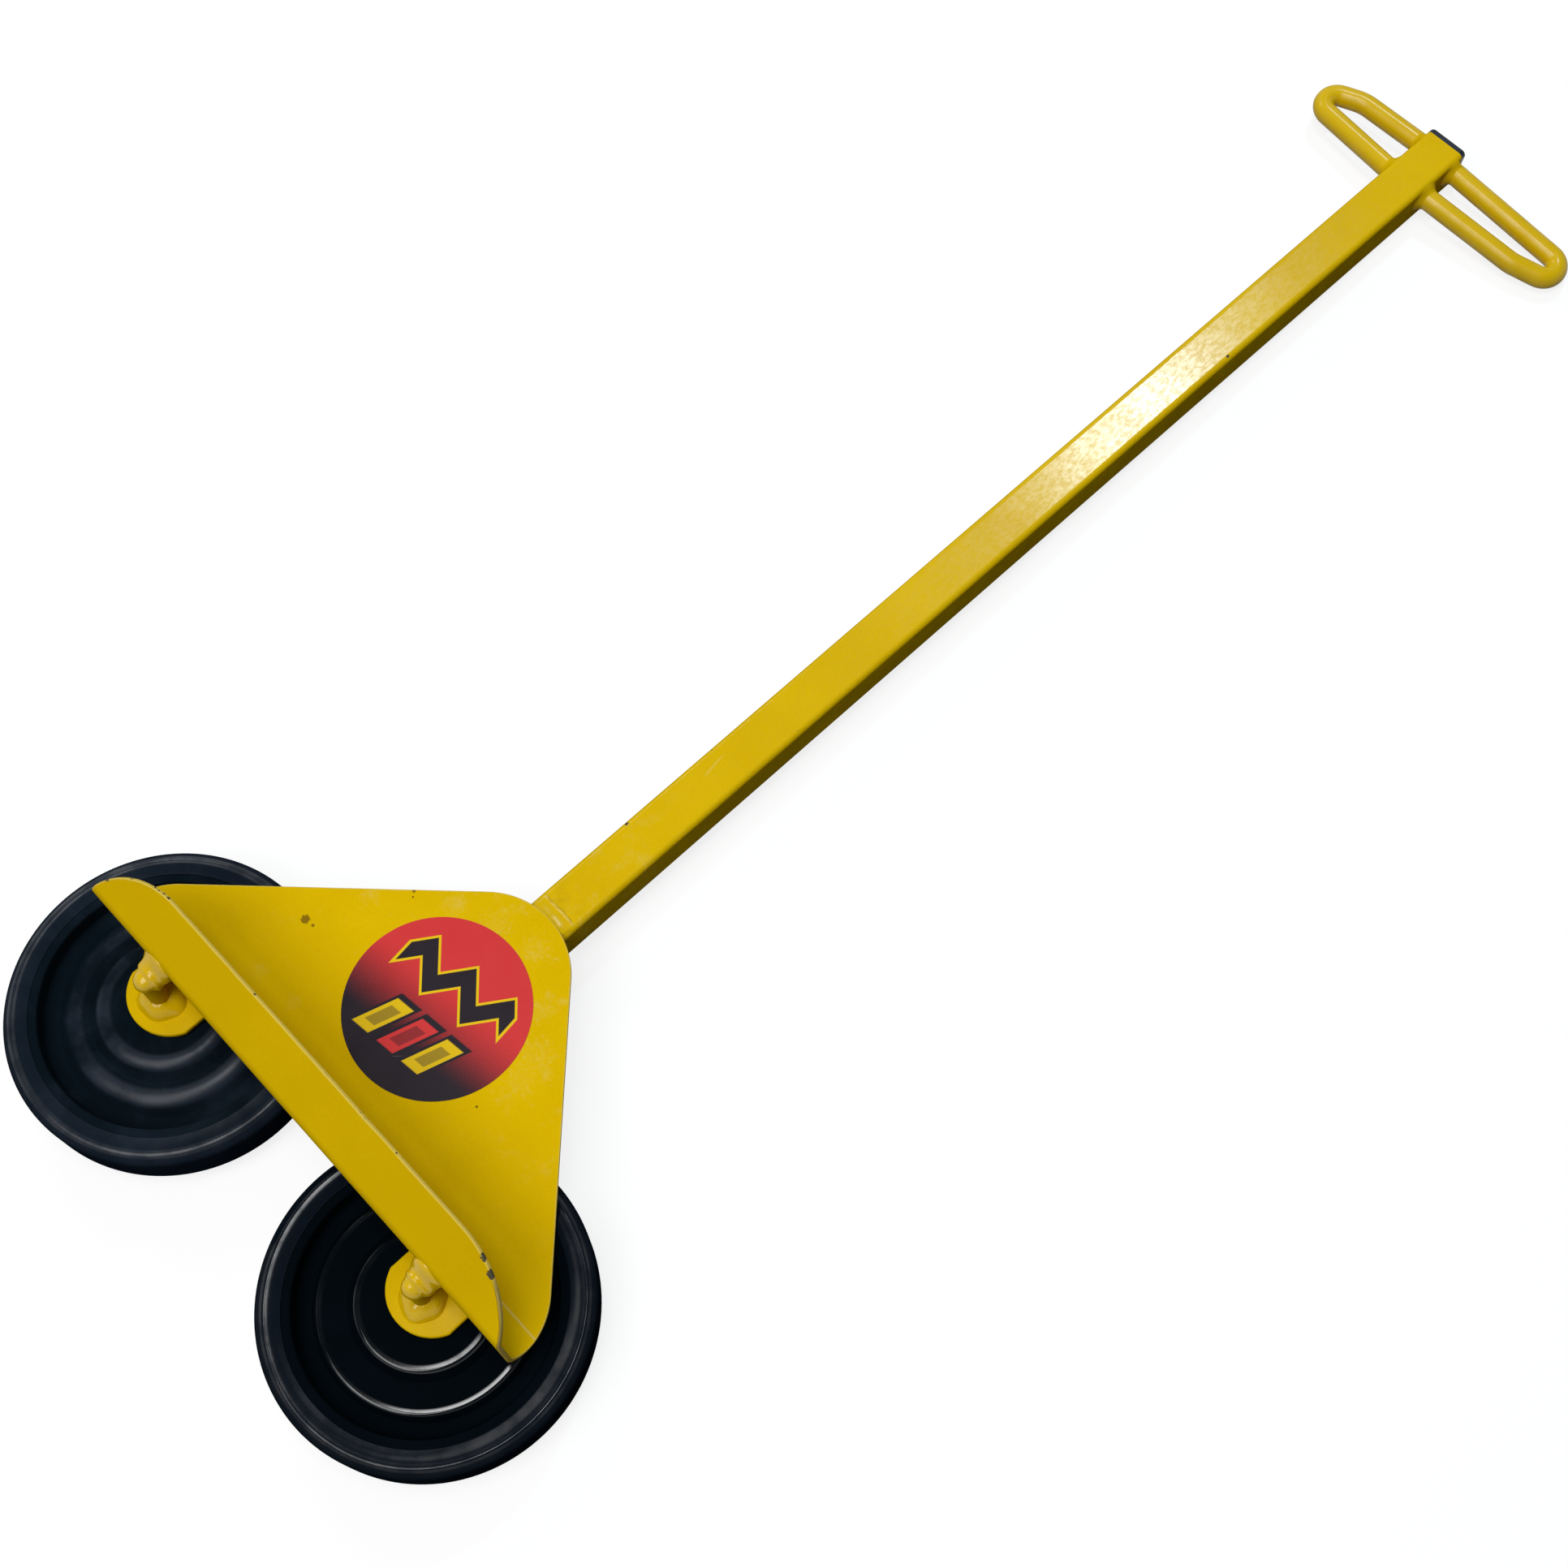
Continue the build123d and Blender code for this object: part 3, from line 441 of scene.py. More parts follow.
def bead(path, face, wall, legs, weld, seed=0, closed=False, crown=0.22, ripple=1.0):
    """A fillet bead in the corner between two surfaces, as points and faces.

    At each point of the path the profile runs from the toe on the face to the toe on the wall,
    bulged outwards by crown times 4 k (1 - k), or hollowed where crown is negative. Ripples a
    pitch apart lag in the middle of the bead, so that they lie as crescents, and a slow wave
    makes the legs uneven. An open bead narrows at both ends. face and wall are directions, one for
    the whole path or one for each point.
    """
    face, wall = np.atleast_2d(face), np.atleast_2d(wall)
    steps = np.linalg.norm(np.diff(path, axis=0), axis=1)
    run = np.concatenate([[0], np.cumsum(steps)])
    total = run[-1] + (np.linalg.norm(path[0] - path[-1]) if closed else 0)
    beats = max(3, round(total / weld.pitch))
    k = np.linspace(0, 1, BEAD_POINTS)
    hump = 4 * k * (1 - k)
    turn = 2 * math.pi * run / total
    wander = 0.9 * np.sin(2 * turn + seed) + 0.7 * np.sin(5 * turn + 2.1 * seed)
    phase = beats * turn[:, None] + wander[:, None] - 1.9 * hump[None]
    crest = np.abs(np.sin(phase / 2)) ** 1.3 * np.sqrt(hump)[None]
    slow = 1 + 0.08 * np.sin(2 * turn + 1.7 * seed) + 0.05 * np.sin(5 * turn + 0.6 * seed)
    if not closed:
        ends = np.minimum(run, total - run) / min(TAPER, total / 3)
        slow = slow * (0.35 + 0.65 * np.sin(np.clip(ends, 0, 1) * math.pi / 2))
    reach_face = legs[0] * slow
    reach_wall = legs[1] * (2 - slow if closed else slow)
    across = (face + wall) / np.linalg.norm(face + wall, axis=1)[:, None]
    toe_face = face * reach_face[:, None]
    toe_wall = wall * reach_wall[:, None]
    chord = toe_face[:, None] * (1 - k)[None, :, None] + toe_wall[:, None] * k[None, :, None]
    swell = crown * np.minimum(reach_face, reach_wall)[:, None] * hump[None] + ripple * weld.ripple * crest
    root = path - ROOT * (face + wall)
    skin = root[:, None] + chord + across[:, None] * swell[..., None]
    shape = np.concatenate([skin, root[:, None]], 1)
    rows, columns = shape.shape[:2]
    if closed:
        shape = np.concatenate([shape, shape[:1]])
        faces = grid_faces(rows + 1, columns, ring=True).tolist()
    else:
        faces = grid_faces(rows, columns, ring=True).tolist()
        faces += [list(range(columns))[::-1], list(range((rows - 1) * columns, rows * columns))]
    return shape.reshape(-1, 3), faces


def joined(parts):
    """Several sets of points and faces as one."""
    points, faces, start = [], [], 0
    for some, polygons in parts:
        points.append(some)
        faces += [[start + corner for corner in polygon] for polygon in polygons]
        start += len(some)
    return np.concatenate(points), faces


def ring_path(centre, first, second, radius, count=150):
    """A circle round a rod: points, outward directions, in the plane of two given directions."""
    a = np.linspace(0, 2 * math.pi, count, endpoint=False)[:, None]
    outward = np.cos(a) * first + np.sin(a) * second
    return centre + radius * outward, outward


def nugget(u, weld, seed):
    """The drip of weld on an axle's nose, with a neck up to the trough, as points and faces.

    Level rounds of radius r(v): a sphere below and the neck above, joined by the sixth root of
    the sum of their sixth powers. The neck widens by a smooth step towards the trough, and its
    middle moves forward with it. Slow waves round the axis and two swirls up it make it uneven.
    """
    rows, columns = 70, 80
    ball, top = weld.nugget, weld.underside + NUGGET_OVERLAP
    v = np.concatenate([-ball * np.cos(np.linspace(0, math.pi / 2, 26)), np.linspace(0, top, rows - 25)[1:]])[:, None]
    a = np.linspace(0, 2 * math.pi, columns, endpoint=False)[None]

    def smooth(low, high):
        k = np.clip((v - low) / (high - low), 0, 1)
        return k**2 * (3 - 2 * k)

    sphere = np.sqrt(np.maximum(ball**2 - v**2, 0))
    neck = weld.nugget_waist + (weld.nugget_flare - weld.nugget_waist) * smooth(0.005, top)
    neck = neck * smooth(-0.6 * ball, 0.4 * ball)
    r = (sphere**6 + neck**6) ** (1 / 6)
    wave = 0.035 * np.sin(3 * a + seed) + 0.025 * np.sin(2 * a - 1.7 * seed + 260 * v)
    swirl = 0.030 * np.sin(v * 820 + 2.2 * np.sin(a + seed) + 1.1 * np.sin(2 * a)) * smooth(-0.005, 0.002)
    r = r * (1 + wave + swirl)
    forward = weld.rod_front - NUGGET_SET_BACK + NUGGET_SET_BACK * smooth(0.003, top)
    shape = stack(u + r * np.sin(a), v, forward + r * np.cos(a))
    faces = grid_faces(len(v), columns, ring=True).tolist()
    faces.append(list(range((len(v) - 1) * columns, len(v) * columns)))
    return shape.reshape(-1, 3), faces


def apex_band(size, weld):
    """The bead across the tube at the plate's apex, as points and faces.

    Across it runs t from -1 to 1; up the tube runs s from the plate's round edge to a straight
    toe. Its height over the tube falls hollow as (1 - s)^2.4 from just under the plate's front,
    with a thin ridge exp(-((s - 0.92) / 0.05)^2) at the toe, and it fades towards both sides.
    """
    t = np.linspace(-1, 1, 61)[:, None]
    s = np.linspace(0, 1, 61)[None]
    face = weld.tube / 2
    across = t * (face - weld.tube_corner * 0.55)
    crest = size.plate_top - size.apex_radius + np.sqrt(size.apex_radius**2 - across**2) - APEX_OVERLAP
    toe = size.plate_top + weld.apex_leg + 0.0004 * np.sin(5 * t + 0.7) + 0.0002 * np.sin(13 * t)
    v = crest + s * (toe - crest)
    fade = 1 - np.abs(t) ** 5
    uneven = 1 + 0.25 * np.sin(7 * t + 1.0) * s + 0.10 * np.sin(11 * t + 4 * s)
    hollow = (size.thickness - 0.0006) * (1 - s) ** 2.4
    ridge = 0.00120 * np.exp(-(((s - 0.92) / 0.050) ** 2)) * (0.75 + 0.25 * np.sin(9 * t + 2))
    height = hollow * (0.35 + 0.65 * fade) + fade * (ridge + 0.00030 * uneven * (1 - s**8)) - 0.0001
    corner = weld.tube_corner
    drop = corner - np.sqrt(corner**2 - np.clip(np.abs(across) - face + corner, 0, None) ** 2)
    top = stack(across, v, face - drop + height)
    under = top * [1, 1, 0] + [0, 0, face - APEX_SINK]
    rows, columns = top.shape[:2]
    points = np.concatenate([top.reshape(-1, 3), under.reshape(-1, 3)])
    faces = np.concatenate([grid_faces(rows, columns), grid_faces(rows, columns, rows * columns, flip=True)]).tolist()
    rim = np.concatenate([
        np.arange(columns), np.arange(1, rows) * columns + columns - 1,
        (rows - 1) * columns + np.arange(columns - 2, -1, -1), np.arange(rows - 2, 0, -1) * columns,
    ])
    ahead = np.roll(rim, -1)
    faces += stack(rim, ahead, ahead + rows * columns, rim + rows * columns).tolist()
    return points, faces


# Wheels

ARC_POINTS = 14
WHEEL_POINTS = 144
CORE_FIT = 0.00002  # play of a core in its tyre
RIM_SLOPE = 0.0015  # how far the rim's inner side leans
TREAD_ROUND = 0.005
WALL_HOLLOW = 0.0004


def rounded(points, rounds):
    """A polyline with an arc of its own radius at each inner corner, as (radius, height) points."""
    points = np.array(points, float)
    line = [points[:1]]
    for before, corner, after, radius in zip(points, points[1:], points[2:], rounds):
        back, ahead = before - corner, after - corner
        back, ahead = back / np.linalg.norm(back), ahead / np.linalg.norm(ahead)
        half = math.acos(np.clip(back @ ahead, -1, 1)) / 2
        middle = corner + (back + ahead) / np.linalg.norm(back + ahead) * radius / math.sin(half)
        start = corner + back * radius / math.tan(half) - middle
        end = corner + ahead * radius / math.tan(half) - middle
        k = np.linspace(0, 1, ARC_POINTS)[:, None]
        turn = math.pi - 2 * half
        line.append(middle + (np.sin((1 - k) * turn) * start + np.sin(k * turn) * end) / math.sin(turn))
    return np.concatenate(line + [points[-1:]])


def turned(name, front, side):
    """A closed ring: the front contour and its mirror image turned about a wheel's axle."""
    contour = np.concatenate([front, front[-2::-1] * [1, -1]])
    turn = np.linspace(0, 2 * math.pi, WHEEL_POINTS, endpoint=False)
    r, h = contour[:, :1], contour[:, 1:]
    shape = stack(side * SPACING / 2 + r * np.cos(turn), r * np.sin(turn), WHEEL_LEVEL + h)
    faces = grid_faces(len(contour), WHEEL_POINTS, ring=True)
    return make_piece(name, to_frame(shape.reshape(-1, 3)), faces, sharp=28)


def core_contour(size, disc, hub, disc_round, hub_round):
    """The front contour of a wheel core: rim, moat, raised disc, hub and the bush's pocket.

    disc and hub are the radii of a foot and of its crest. Crests are rounded, feet are sharp.
    """
    outer, web, raised = size.tyre_bore - CORE_FIT, size.web, size.web + size.disc
    top, pocket = raised + size.hub_rise, size.bush_pocket
    points = [
        (outer, 0), (outer, size.rim_face), (size.rim, size.rim_face), (size.rim - RIM_SLOPE, web),
        (disc[0], web), (disc[1], raised), (hub[0], raised), (hub[1], top),
        (pocket, top), (pocket, size.bush_seat), (size.bush_bore, size.bush_seat), (size.bush_bore, 0),
    ]
    return rounded(points, [0.0004, 0.0015, 0.0035, 0.0003, disc_round, 0.0003, hub_round, 0.0002, 0.0001, 0.0001])


def tyre_contour(size, soft):
    """The front contour of a tyre: tread, eased shoulder and a side wall hollowed by a sine."""
    face, outer, inner = size.half_width, size.radius, size.tyre_bore
    points = [(outer, 0), (outer, face - TREAD_ROUND), (outer - size.shoulder, face), (inner, face), (inner, 0)]
    line = rounded(points, [TREAD_ROUND, soft, 0.0004])
    r = np.linspace(outer - size.shoulder - 0.6 * soft, inner + 0.0006, 40)
    wall = face - WALL_HOLLOW * np.sin(math.pi * np.clip((r - inner) / (outer - size.shoulder - inner), 0, 1))
    flat = np.flatnonzero(line[:, 1] > face - 1e-6)
    return np.concatenate([line[: flat[0] + 1], stack(r, wall), line[flat[-1]:]])


# Values over a surface


class Field:
    """A value or place that varies over a surface: a socket whose sums become Math nodes."""

    def __init__(self, socket):
        self.socket, self.tree = socket, socket.id_data

    def math(self, operation, *others, clamp=False):
        """One operation on this value and others."""
        inputs = dict(enumerate((self, *others)))
        return field(self.tree, "ShaderNodeMath", inputs, operation=operation, use_clamp=clamp)

    def vector(self, operation, other=(0, 0, 0), output="Vector"):
        """One operation on this place and another."""
        return field(self.tree, "ShaderNodeVectorMath", {0: self, 1: other}, output, operation=operation)

    def axis(self, key):
        """One coordinate of this place."""
        return field(self.tree, "ShaderNodeSeparateXYZ", {0: self}, key)

    def __add__(self, other):
        return self.math("ADD", other)

    def __sub__(self, other):
        return self.math("SUBTRACT", other)

    def __rsub__(self, other):
        return self.math("MULTIPLY_ADD", -1.0, other)

    def __mul__(self, other):
        return self.math("MULTIPLY", other)

    def __truediv__(self, other):
        return self.math("DIVIDE", other)

    def __or__(self, other):
        return self.math("MAXIMUM", other)

    def __abs__(self):
        return self.math("ABSOLUTE")


def feed(node, inputs):
    """Link each input that is given as a field and set the others."""
    for key, value in inputs.items():
        if isinstance(value, Field):
            value.tree.links.new(value.socket, node.inputs[key])
        else:
            node.inputs[key].default_value = value


def wire(tree, kind, inputs, **settings):
    """Add a node with its settings and inputs."""
    node = tree.nodes.new(kind)
    for key, setting in settings.items():
        setattr(node, key, setting)
    feed(node, inputs)
    return node


def field(tree, kind, inputs, output=0, **settings):
    """Add a node and give one of its outputs as a field."""
    return Field(wire(tree, kind, inputs, **settings).outputs[output])


def noise(at, scale, detail=3.0, rough=0.55, twist=0.0):
    """Noise from 0 to 1 at so many waves to the metre."""
    inputs = {"Vector": at, "Scale": scale, "Detail": detail, "Roughness": rough, "Distortion": twist}
    return field(at.tree, "ShaderNodeTexNoise", inputs, "Fac")


def ramp(value, low, high, start=0.0, end=1.0):
    """Smooth step of a value from low to high."""
    inputs = {"Value": value, "From Min": low, "From Max": high, "To Min": start, "To Max": end}
    return field(value.tree, "ShaderNodeMapRange", inputs, "Result", interpolation_type="SMOOTHSTEP")


def mixed(factor, a, b):
    """Two colours mixed by a factor."""
    return field(factor.tree, "ShaderNodeMix", {"Factor": factor, 6: a, 7: b}, 2, data_type="RGBA")


def lerp(factor, a, b):
    """Two values mixed by a factor."""
    return field(factor.tree, "ShaderNodeMix", {"Factor": factor, 2: a, 3: b}, data_type="FLOAT")


def turned_by(at, turn):
    """A place turned about the axis out of the plate."""
    return field(at.tree, "ShaderNodeVectorRotate", {"Vector": at, "Angle": turn}, rotation_type="Z_AXIS")


def most(masks):
    """The largest of several masks."""
    return functools.reduce(Field.__or__, masks)


def read(like, key, output="Vector"):
    """A value kept on the mesh, for the material that another field is in."""
    return field(like.tree, "ShaderNodeAttribute", {}, output, attribute_name=key)


def bump(height, distance):
    """The normal of a skin with a height in metres."""
    return field(height.tree, "ShaderNodeBump", {"Height": height, "Strength": 1.0, "Distance": distance})


# Effects that several finishes share

SOCKETS = {type(None): "NodeSocketVector", tuple: "NodeSocketColor", float: "NodeSocketFloat"}


def new_group(name, inputs, *outputs):
    """An empty shader group: what it is given, as fields, and the node that takes its results."""
    tree = bpy.data.node_groups.new(name, "ShaderNodeTree")
    for label, default in inputs.items():
        socket = tree.interface.new_socket(label, in_out="INPUT", socket_type=SOCKETS[type(default)])
        if default is not None:
            socket.default_value = default
    for label in outputs:
        kind = SOCKETS[tuple if label == "Colour" else float]
        tree.interface.new_socket(label, in_out="OUTPUT", socket_type=kind)
    given = tree.nodes.new("NodeGroupInput").outputs
    return [Field(given[label]) for label in inputs], tree.nodes.new("NodeGroupOutput")


def enamel_group(name):
    """Brushed-on enamel: its colour drifts in patches and its skin has orange peel."""
    (at, fresh, deep, gloss, peel), made = new_group(name, {
        "Vector": None, "Colour": (1, 1, 1, 1), "Deep Colour": (0, 0, 0, 1), "Gloss": 0.3, "Peel": 320.0,
    }, "Colour", "Roughness", "Height")
    cloud = noise(at, 9.0, 4.0, 0.6) * 0.65 + noise(at, 900.0, 3.0, 0.75) * 0.42
    feed(made, {
        "Colour": mixed(ramp(cloud, 0.32, 0.78), deep, fresh),
        "Roughness": gloss + (noise(at, 30.0, 5.0, 0.65) - 0.5) * 0.22,
        "Height": noise(at, peel, 2.0, 0.45) + noise(at, peel * 3.1, 1.0, 0.5) * 0.22,
    })


def chip_group(name):
    """One ragged spot round a centre: 1 inside it, 0 outside."""
    (at, centre, size, ragged), made = new_group(
        name, {"Vector": None, "Centre": None, "Size": 0.004, "Ragged": 0.7}, "Mask"
    )
    tear = (noise(at, 420.0, 4.0, 0.65) - 0.5) * (ragged * size)
    reach = at.vector("DISTANCE", centre, "Value") + tear * 2.6
    feed(made, {"Mask": ramp(reach / size, 1.08, 0.86)})


def rim_group(name):
    """Rubbing along a cut edge, from the distance to that edge: a broken line and a lighter border beside it, which on
    the plate's cut edges is also a painted highlight.
    """
    (at, rim, reach, cover), made = new_group(
        name, {"Vector": None, "Rim": 0.0, "Reach": 0.002, "Cover": 0.5}, "Bare", "Pale"
    )
    worn = 1.0 - rim / reach + (noise(at, 55.0, 5.0, 0.7) - 1.0) * 2.0 + cover
    feed(made, {"Bare": ramp(worn, 0.42, 0.58), "Pale": ramp(worn, -0.15, 0.5)})


def scuff_group(name):
    """Faint straight rubs: long thin noise along the first axis, broken into patches."""
    (at, turn, amount), made = new_group(name, {"Vector": None, "Turn": 0.0, "Amount": 0.5}, "Mask")
    drawn = turned_by(at, turn).vector("MULTIPLY", (9.0, 260.0, 60.0))
    both = noise(drawn, 1.0, 3.0, 0.7) + noise(at, 14.0, 3.0, 0.6) * 0.8
    feed(made, {"Mask": ramp(both - (1.28 - amount * 0.3), 0.0, 0.09)})


def grain_group(name):
    """Skin of moulded plastic or rubber: a fine grain, cloudy wear and dust."""
    (at, fresh, worn, gloss, wear), made = new_group(name, {
        "Vector": None, "Colour": (0, 0, 0, 1), "Worn Colour": (0.05, 0.05, 0.06, 1), "Gloss": 0.3, "Wear": 0.3,
    }, "Colour", "Roughness", "Height")
    cloud = ramp(noise(at, 22.0, 5.0, 0.62, 0.6), 0.4, 0.75)
    dust = ramp(noise(at, 950.0, 2.0, 0.5), 0.62, 0.78)
    feed(made, {
        "Colour": mixed((cloud * wear).math("ADD", dust * (wear * 0.35), clamp=True), fresh, worn),
        "Roughness": gloss + (cloud - 0.4) * (wear * 0.5),
        "Height": noise(at, 700.0, 2.0, 0.5) + noise(at, 45.0, 2.0, 0.5) * 1.6,
    })


GROUP_MAKERS = {
    "Enamel skin": enamel_group, "Chip spot": chip_group, "Rim wear": rim_group,
    "Scuff marks": scuff_group, "Moulded skin": grain_group,
}


def effect(name, **inputs):
    """Place a shared effect in the material of its vector, with its own values; gives its results by name."""
    if name not in bpy.data.node_groups:
        GROUP_MAKERS[name](name)
    inputs = {key.replace("_", " "): value for key, value in inputs.items()}
    node = wire(inputs["Vector"].tree, "ShaderNodeGroup", inputs, node_tree=bpy.data.node_groups[name])
    return {socket.name: Field(socket) for socket in node.outputs}


def spots(here, places, ragged=0.7):
    """Ragged spots at given places, each a centre and a size."""
    return most(effect("Chip spot", Vector=here, Centre=at, Size=size, Ragged=ragged)["Mask"] for at, size in places)


def scuffed(here, marks):
    """Scuff marks, each a turn and an amount."""
    return most(effect("Scuff marks", Vector=here, Turn=turn, Amount=amount)["Mask"] for turn, amount in marks)


# Finishes


def rgb(value, factor=1.0):
    """A colour with full cover."""
    return (*(min(1.0, part * factor) for part in value), 1.0)


def new_material(name):
    """A material with no shader yet, and the place on the object."""
    material = bpy.data.materials.new(name)
    material.use_nodes = True
    nodes = material.node_tree.nodes
    nodes.clear()
    return material, Field(nodes.new("ShaderNodeTexCoord").outputs["Object"])


def show(shader):
    """Make a shader the one that its material shows."""
    wire(shader.id_data, "ShaderNodeOutputMaterial", {"Surface": Field(shader.outputs[0])})


def new_finish(name, centre=(0.0, 0.0, 0.0)):
    """A material, its shader, and the place on the dolly's own axes, measured from a centre."""
    material, spot = new_material(name)
    shader = spot.tree.nodes.new("ShaderNodeBsdfPrincipled")
    show(shader)
    inputs = {"Vector": spot, "Location": tuple(to_frame(np.array(centre))), "Rotation": (LEAN, 0, 0)}
    return material, shader, field(spot.tree, "ShaderNodeMapping", inputs, vector_type="TEXTURE")


def enamel_finish(
    name, finish, peel, depth, gloss=0.0, tint=1.0, chips=(), stains=(), rubs=(), scuffs=(),
    bare=None, pale_and_highlight=None, dirt_and_shade=None, coat=None, polish=0.16, unfolded=False,
):
    """Yellow enamel over steel: chips show steel, rubbed places turn lighter, grime darkens it in patches.

    Its orange peel has so many waves to the metre and a depth. The hooks bare, pale, dirt and coat
    are functions that take a place and give a mask; the pale hook also paints highlights and the dirt
    hook also paints shade. coat is where the enamel still shines and polish its roughness there.
    Marks on an unfolded piece lie on its flat pattern.
    """
    material, shader, where = new_finish(name)
    here = read(where, "flat") if unfolded else where
    skin = effect(
        "Enamel skin", Vector=where, Colour=rgb(finish.yellow, tint), Deep_Colour=rgb(finish.yellow_deep, tint),
        Gloss=finish.enamel_gloss + gloss, Peel=peel,
    )
    tone, rough, height = skin["Colour"], skin["Roughness"], skin["Height"]
    # Grime colour mixed in: dirt and stains, and painted shade on the tube's sides.
    shade_and_grime_masks = [dirt_and_shade(where)] if dirt_and_shade else []
    if stains:
        shade_and_grime_masks.append(spots(here, stains) * 0.8)
    if shade_and_grime_masks:
        tone = mixed(most(shade_and_grime_masks), tone, rgb(finish.grime_and_shade))
    # Lighter enamel: scuffs, rubs and worn places, and painted highlights along some edges.
    thin = [scuffed(here, scuffs) * 0.6] if scuffs else []
    if rubs:
        cloud = ramp(noise(here, 130.0, 6.0, 0.75, 1.2), 0.44, 0.72)
        thin.append(spots(here, rubs, 1.9) * (cloud * 0.30 + 0.04))
    if pale_and_highlight:
        thin.append(pale_and_highlight(here))
    if thin:
        tone = mixed(most(thin) * 0.8, tone, rgb(finish.pale_yellow_and_highlight))
    off = [spots(here, chips)] if chips else []
    if bare:
        off.append(bare(here))
    if off:
        off = most(off)
        metal = mixed(noise(where, 380.0, 4.0, 0.7), rgb(finish.steel, 0.4), rgb(finish.steel, 1.6))
        tone, rough, height = mixed(off, tone, metal), lerp(off, rough, 0.48), height - off * 1.4
        feed(shader, {"Metallic": off * 0.2})
    if coat:
        feed(shader, {"Coat Weight": coat(where), "Coat Roughness": polish})
    feed(shader, {"Base Color": tone, "Roughness": rough, "Normal": bump(height, depth), "Specular IOR Level": 0.0})
    return material


def glaze(cover):
    """Where thick enamel shines: most of it, less where it is cloudy."""
    return lambda here: ramp(noise(here, 90.0, 3.0, 0.6), 0.3, 0.7, 0.75, 0.4).math("MULTIPLY", cover, clamp=True)


def moulded_finish(name, tone, worn, gloss, wear, grain, centre, scratches=0.0, shine=0.3, coat=None, painted_sheen=None):
    """Black moulded plastic or rubber with a fine grain, cloudy wear and scratches.

    coat is a function that gives the mask of where it shines, and the last argument is a colour painted there as a
    bluish highlight.
    """
    material, shader, where = new_finish(name, centre)
    skin = effect("Moulded skin", Vector=where, Colour=rgb(tone), Worn_Colour=rgb(worn), Gloss=gloss, Wear=wear)
    paint, rough = skin["Colour"], skin["Roughness"]
    if scratches:
        line = scuffed(where, [(0.5, scratches), (1.9, scratches)])
        paint, rough = mixed(line * 0.5, paint, rgb(worn)), rough + line * 0.12
    if coat:
        shines = coat(where)
        feed(shader, {"Coat Weight": shines, "Coat Roughness": gloss})
    # Painted highlight: the base colour turns to a bluish sheen where the coat shines.
    if painted_sheen:
        paint = mixed(shines * 0.9, paint, rgb(painted_sheen))
    feed(shader, {
        "Base Color": paint, "Roughness": rough, "Normal": bump(skin["Height"], grain),
        "Specular IOR Level": shine, "Specular Tint": (0.72, 0.86, 1.0, 1),
    })
    return material


def metal_finish(name, tone, gloss):
    """Zinc plate: a drifting grey with a fine spangle."""
    material, shader, where = new_finish(name)
    feed(shader, {
        "Base Color": mixed(noise(where, 160.0, 4.0, 0.6), rgb(tone, 0.7), rgb(tone, 1.15)),
        "Roughness": ramp(noise(where, 420.0), 0.3, 0.7, gloss, gloss + 0.2),
        "Metallic": 1.0, "Normal": bump(noise(where, 900.0, 2.0), 0.00003),
    })
    return material


def nylon_finish(name, tone):
    """Natural nylon, slightly waxy."""
    material, shader, where = new_finish(name)
    cloud = noise(where, 120.0, 4.0, 0.6)
    feed(shader, {
        "Base Color": mixed(cloud, rgb(tone, 0.8), rgb(tone)), "Roughness": ramp(cloud, 0.3, 0.7, 0.38, 0.52),
        "Normal": bump(noise(where, 800.0, 2.0), 0.00004),
    })
    return material


def sticker_finish(name, finish, centre, radius):
    """Printed vinyl: red fading to black down the disc, a black zigzag with a yellow outline, three leaning boards."""
    material, shader, where = new_finish(name, centre)
    spot = turned_by(where, math.radians(-7)).vector("MULTIPLY", (1 / radius,) * 3)
    x, y = spot.axis("X"), spot.axis("Y")
    ink, red, yellow = rgb(finish.ink), rgb(finish.red), rgb(finish.yellow)
    tone = mixed(ramp(y + (noise(where, 900.0, 2.0) - 0.5) * 0.16, -0.55, 0.30), ink, red)
    line = abs(y - ((x + 5.1).math("PINGPONG", 0.27) * 1.15 + 0.14))
    outline = ramp(line, 0.172, 0.160) * ramp(abs(x), 0.735, 0.725)
    band = ramp(line, 0.132, 0.120) * ramp(abs(x), 0.705, 0.695)
    tone = mixed(band, mixed(outline, tone, rgb(finish.yellow, 1.05)), ink)
    up = y + 0.42
    for middle, paint in ((-0.38, yellow), (-0.03, red), (0.32, yellow)):
        board = abs(x - middle - up * 0.45) / 0.115 | abs(up) / 0.24
        tone = mixed(ramp(board, 1.30, 1.22), tone, ink)
        tone = mixed(ramp(board, 1.02, 0.94), tone, paint)
        tone = mixed(ramp(board, 0.62, 0.54) * 0.55, tone, ink)
    marks = scuffed(where, [(0.9, 0.30), (2.3, 0.30)]) * 0.35
    feed(shader, {
        "Base Color": mixed(marks, tone, (0.42, 0.30, 0.26, 1)),
        "Roughness": ramp(noise(where, 40.0, 4.0), 0.3, 0.7, 0.32, 0.46) + marks,
        "Normal": bump(noise(where, 330.0, 2.0), 0.00005), "Specular IOR Level": 0.12,
    })
    return material


# Operators: one for each piece or group of like pieces


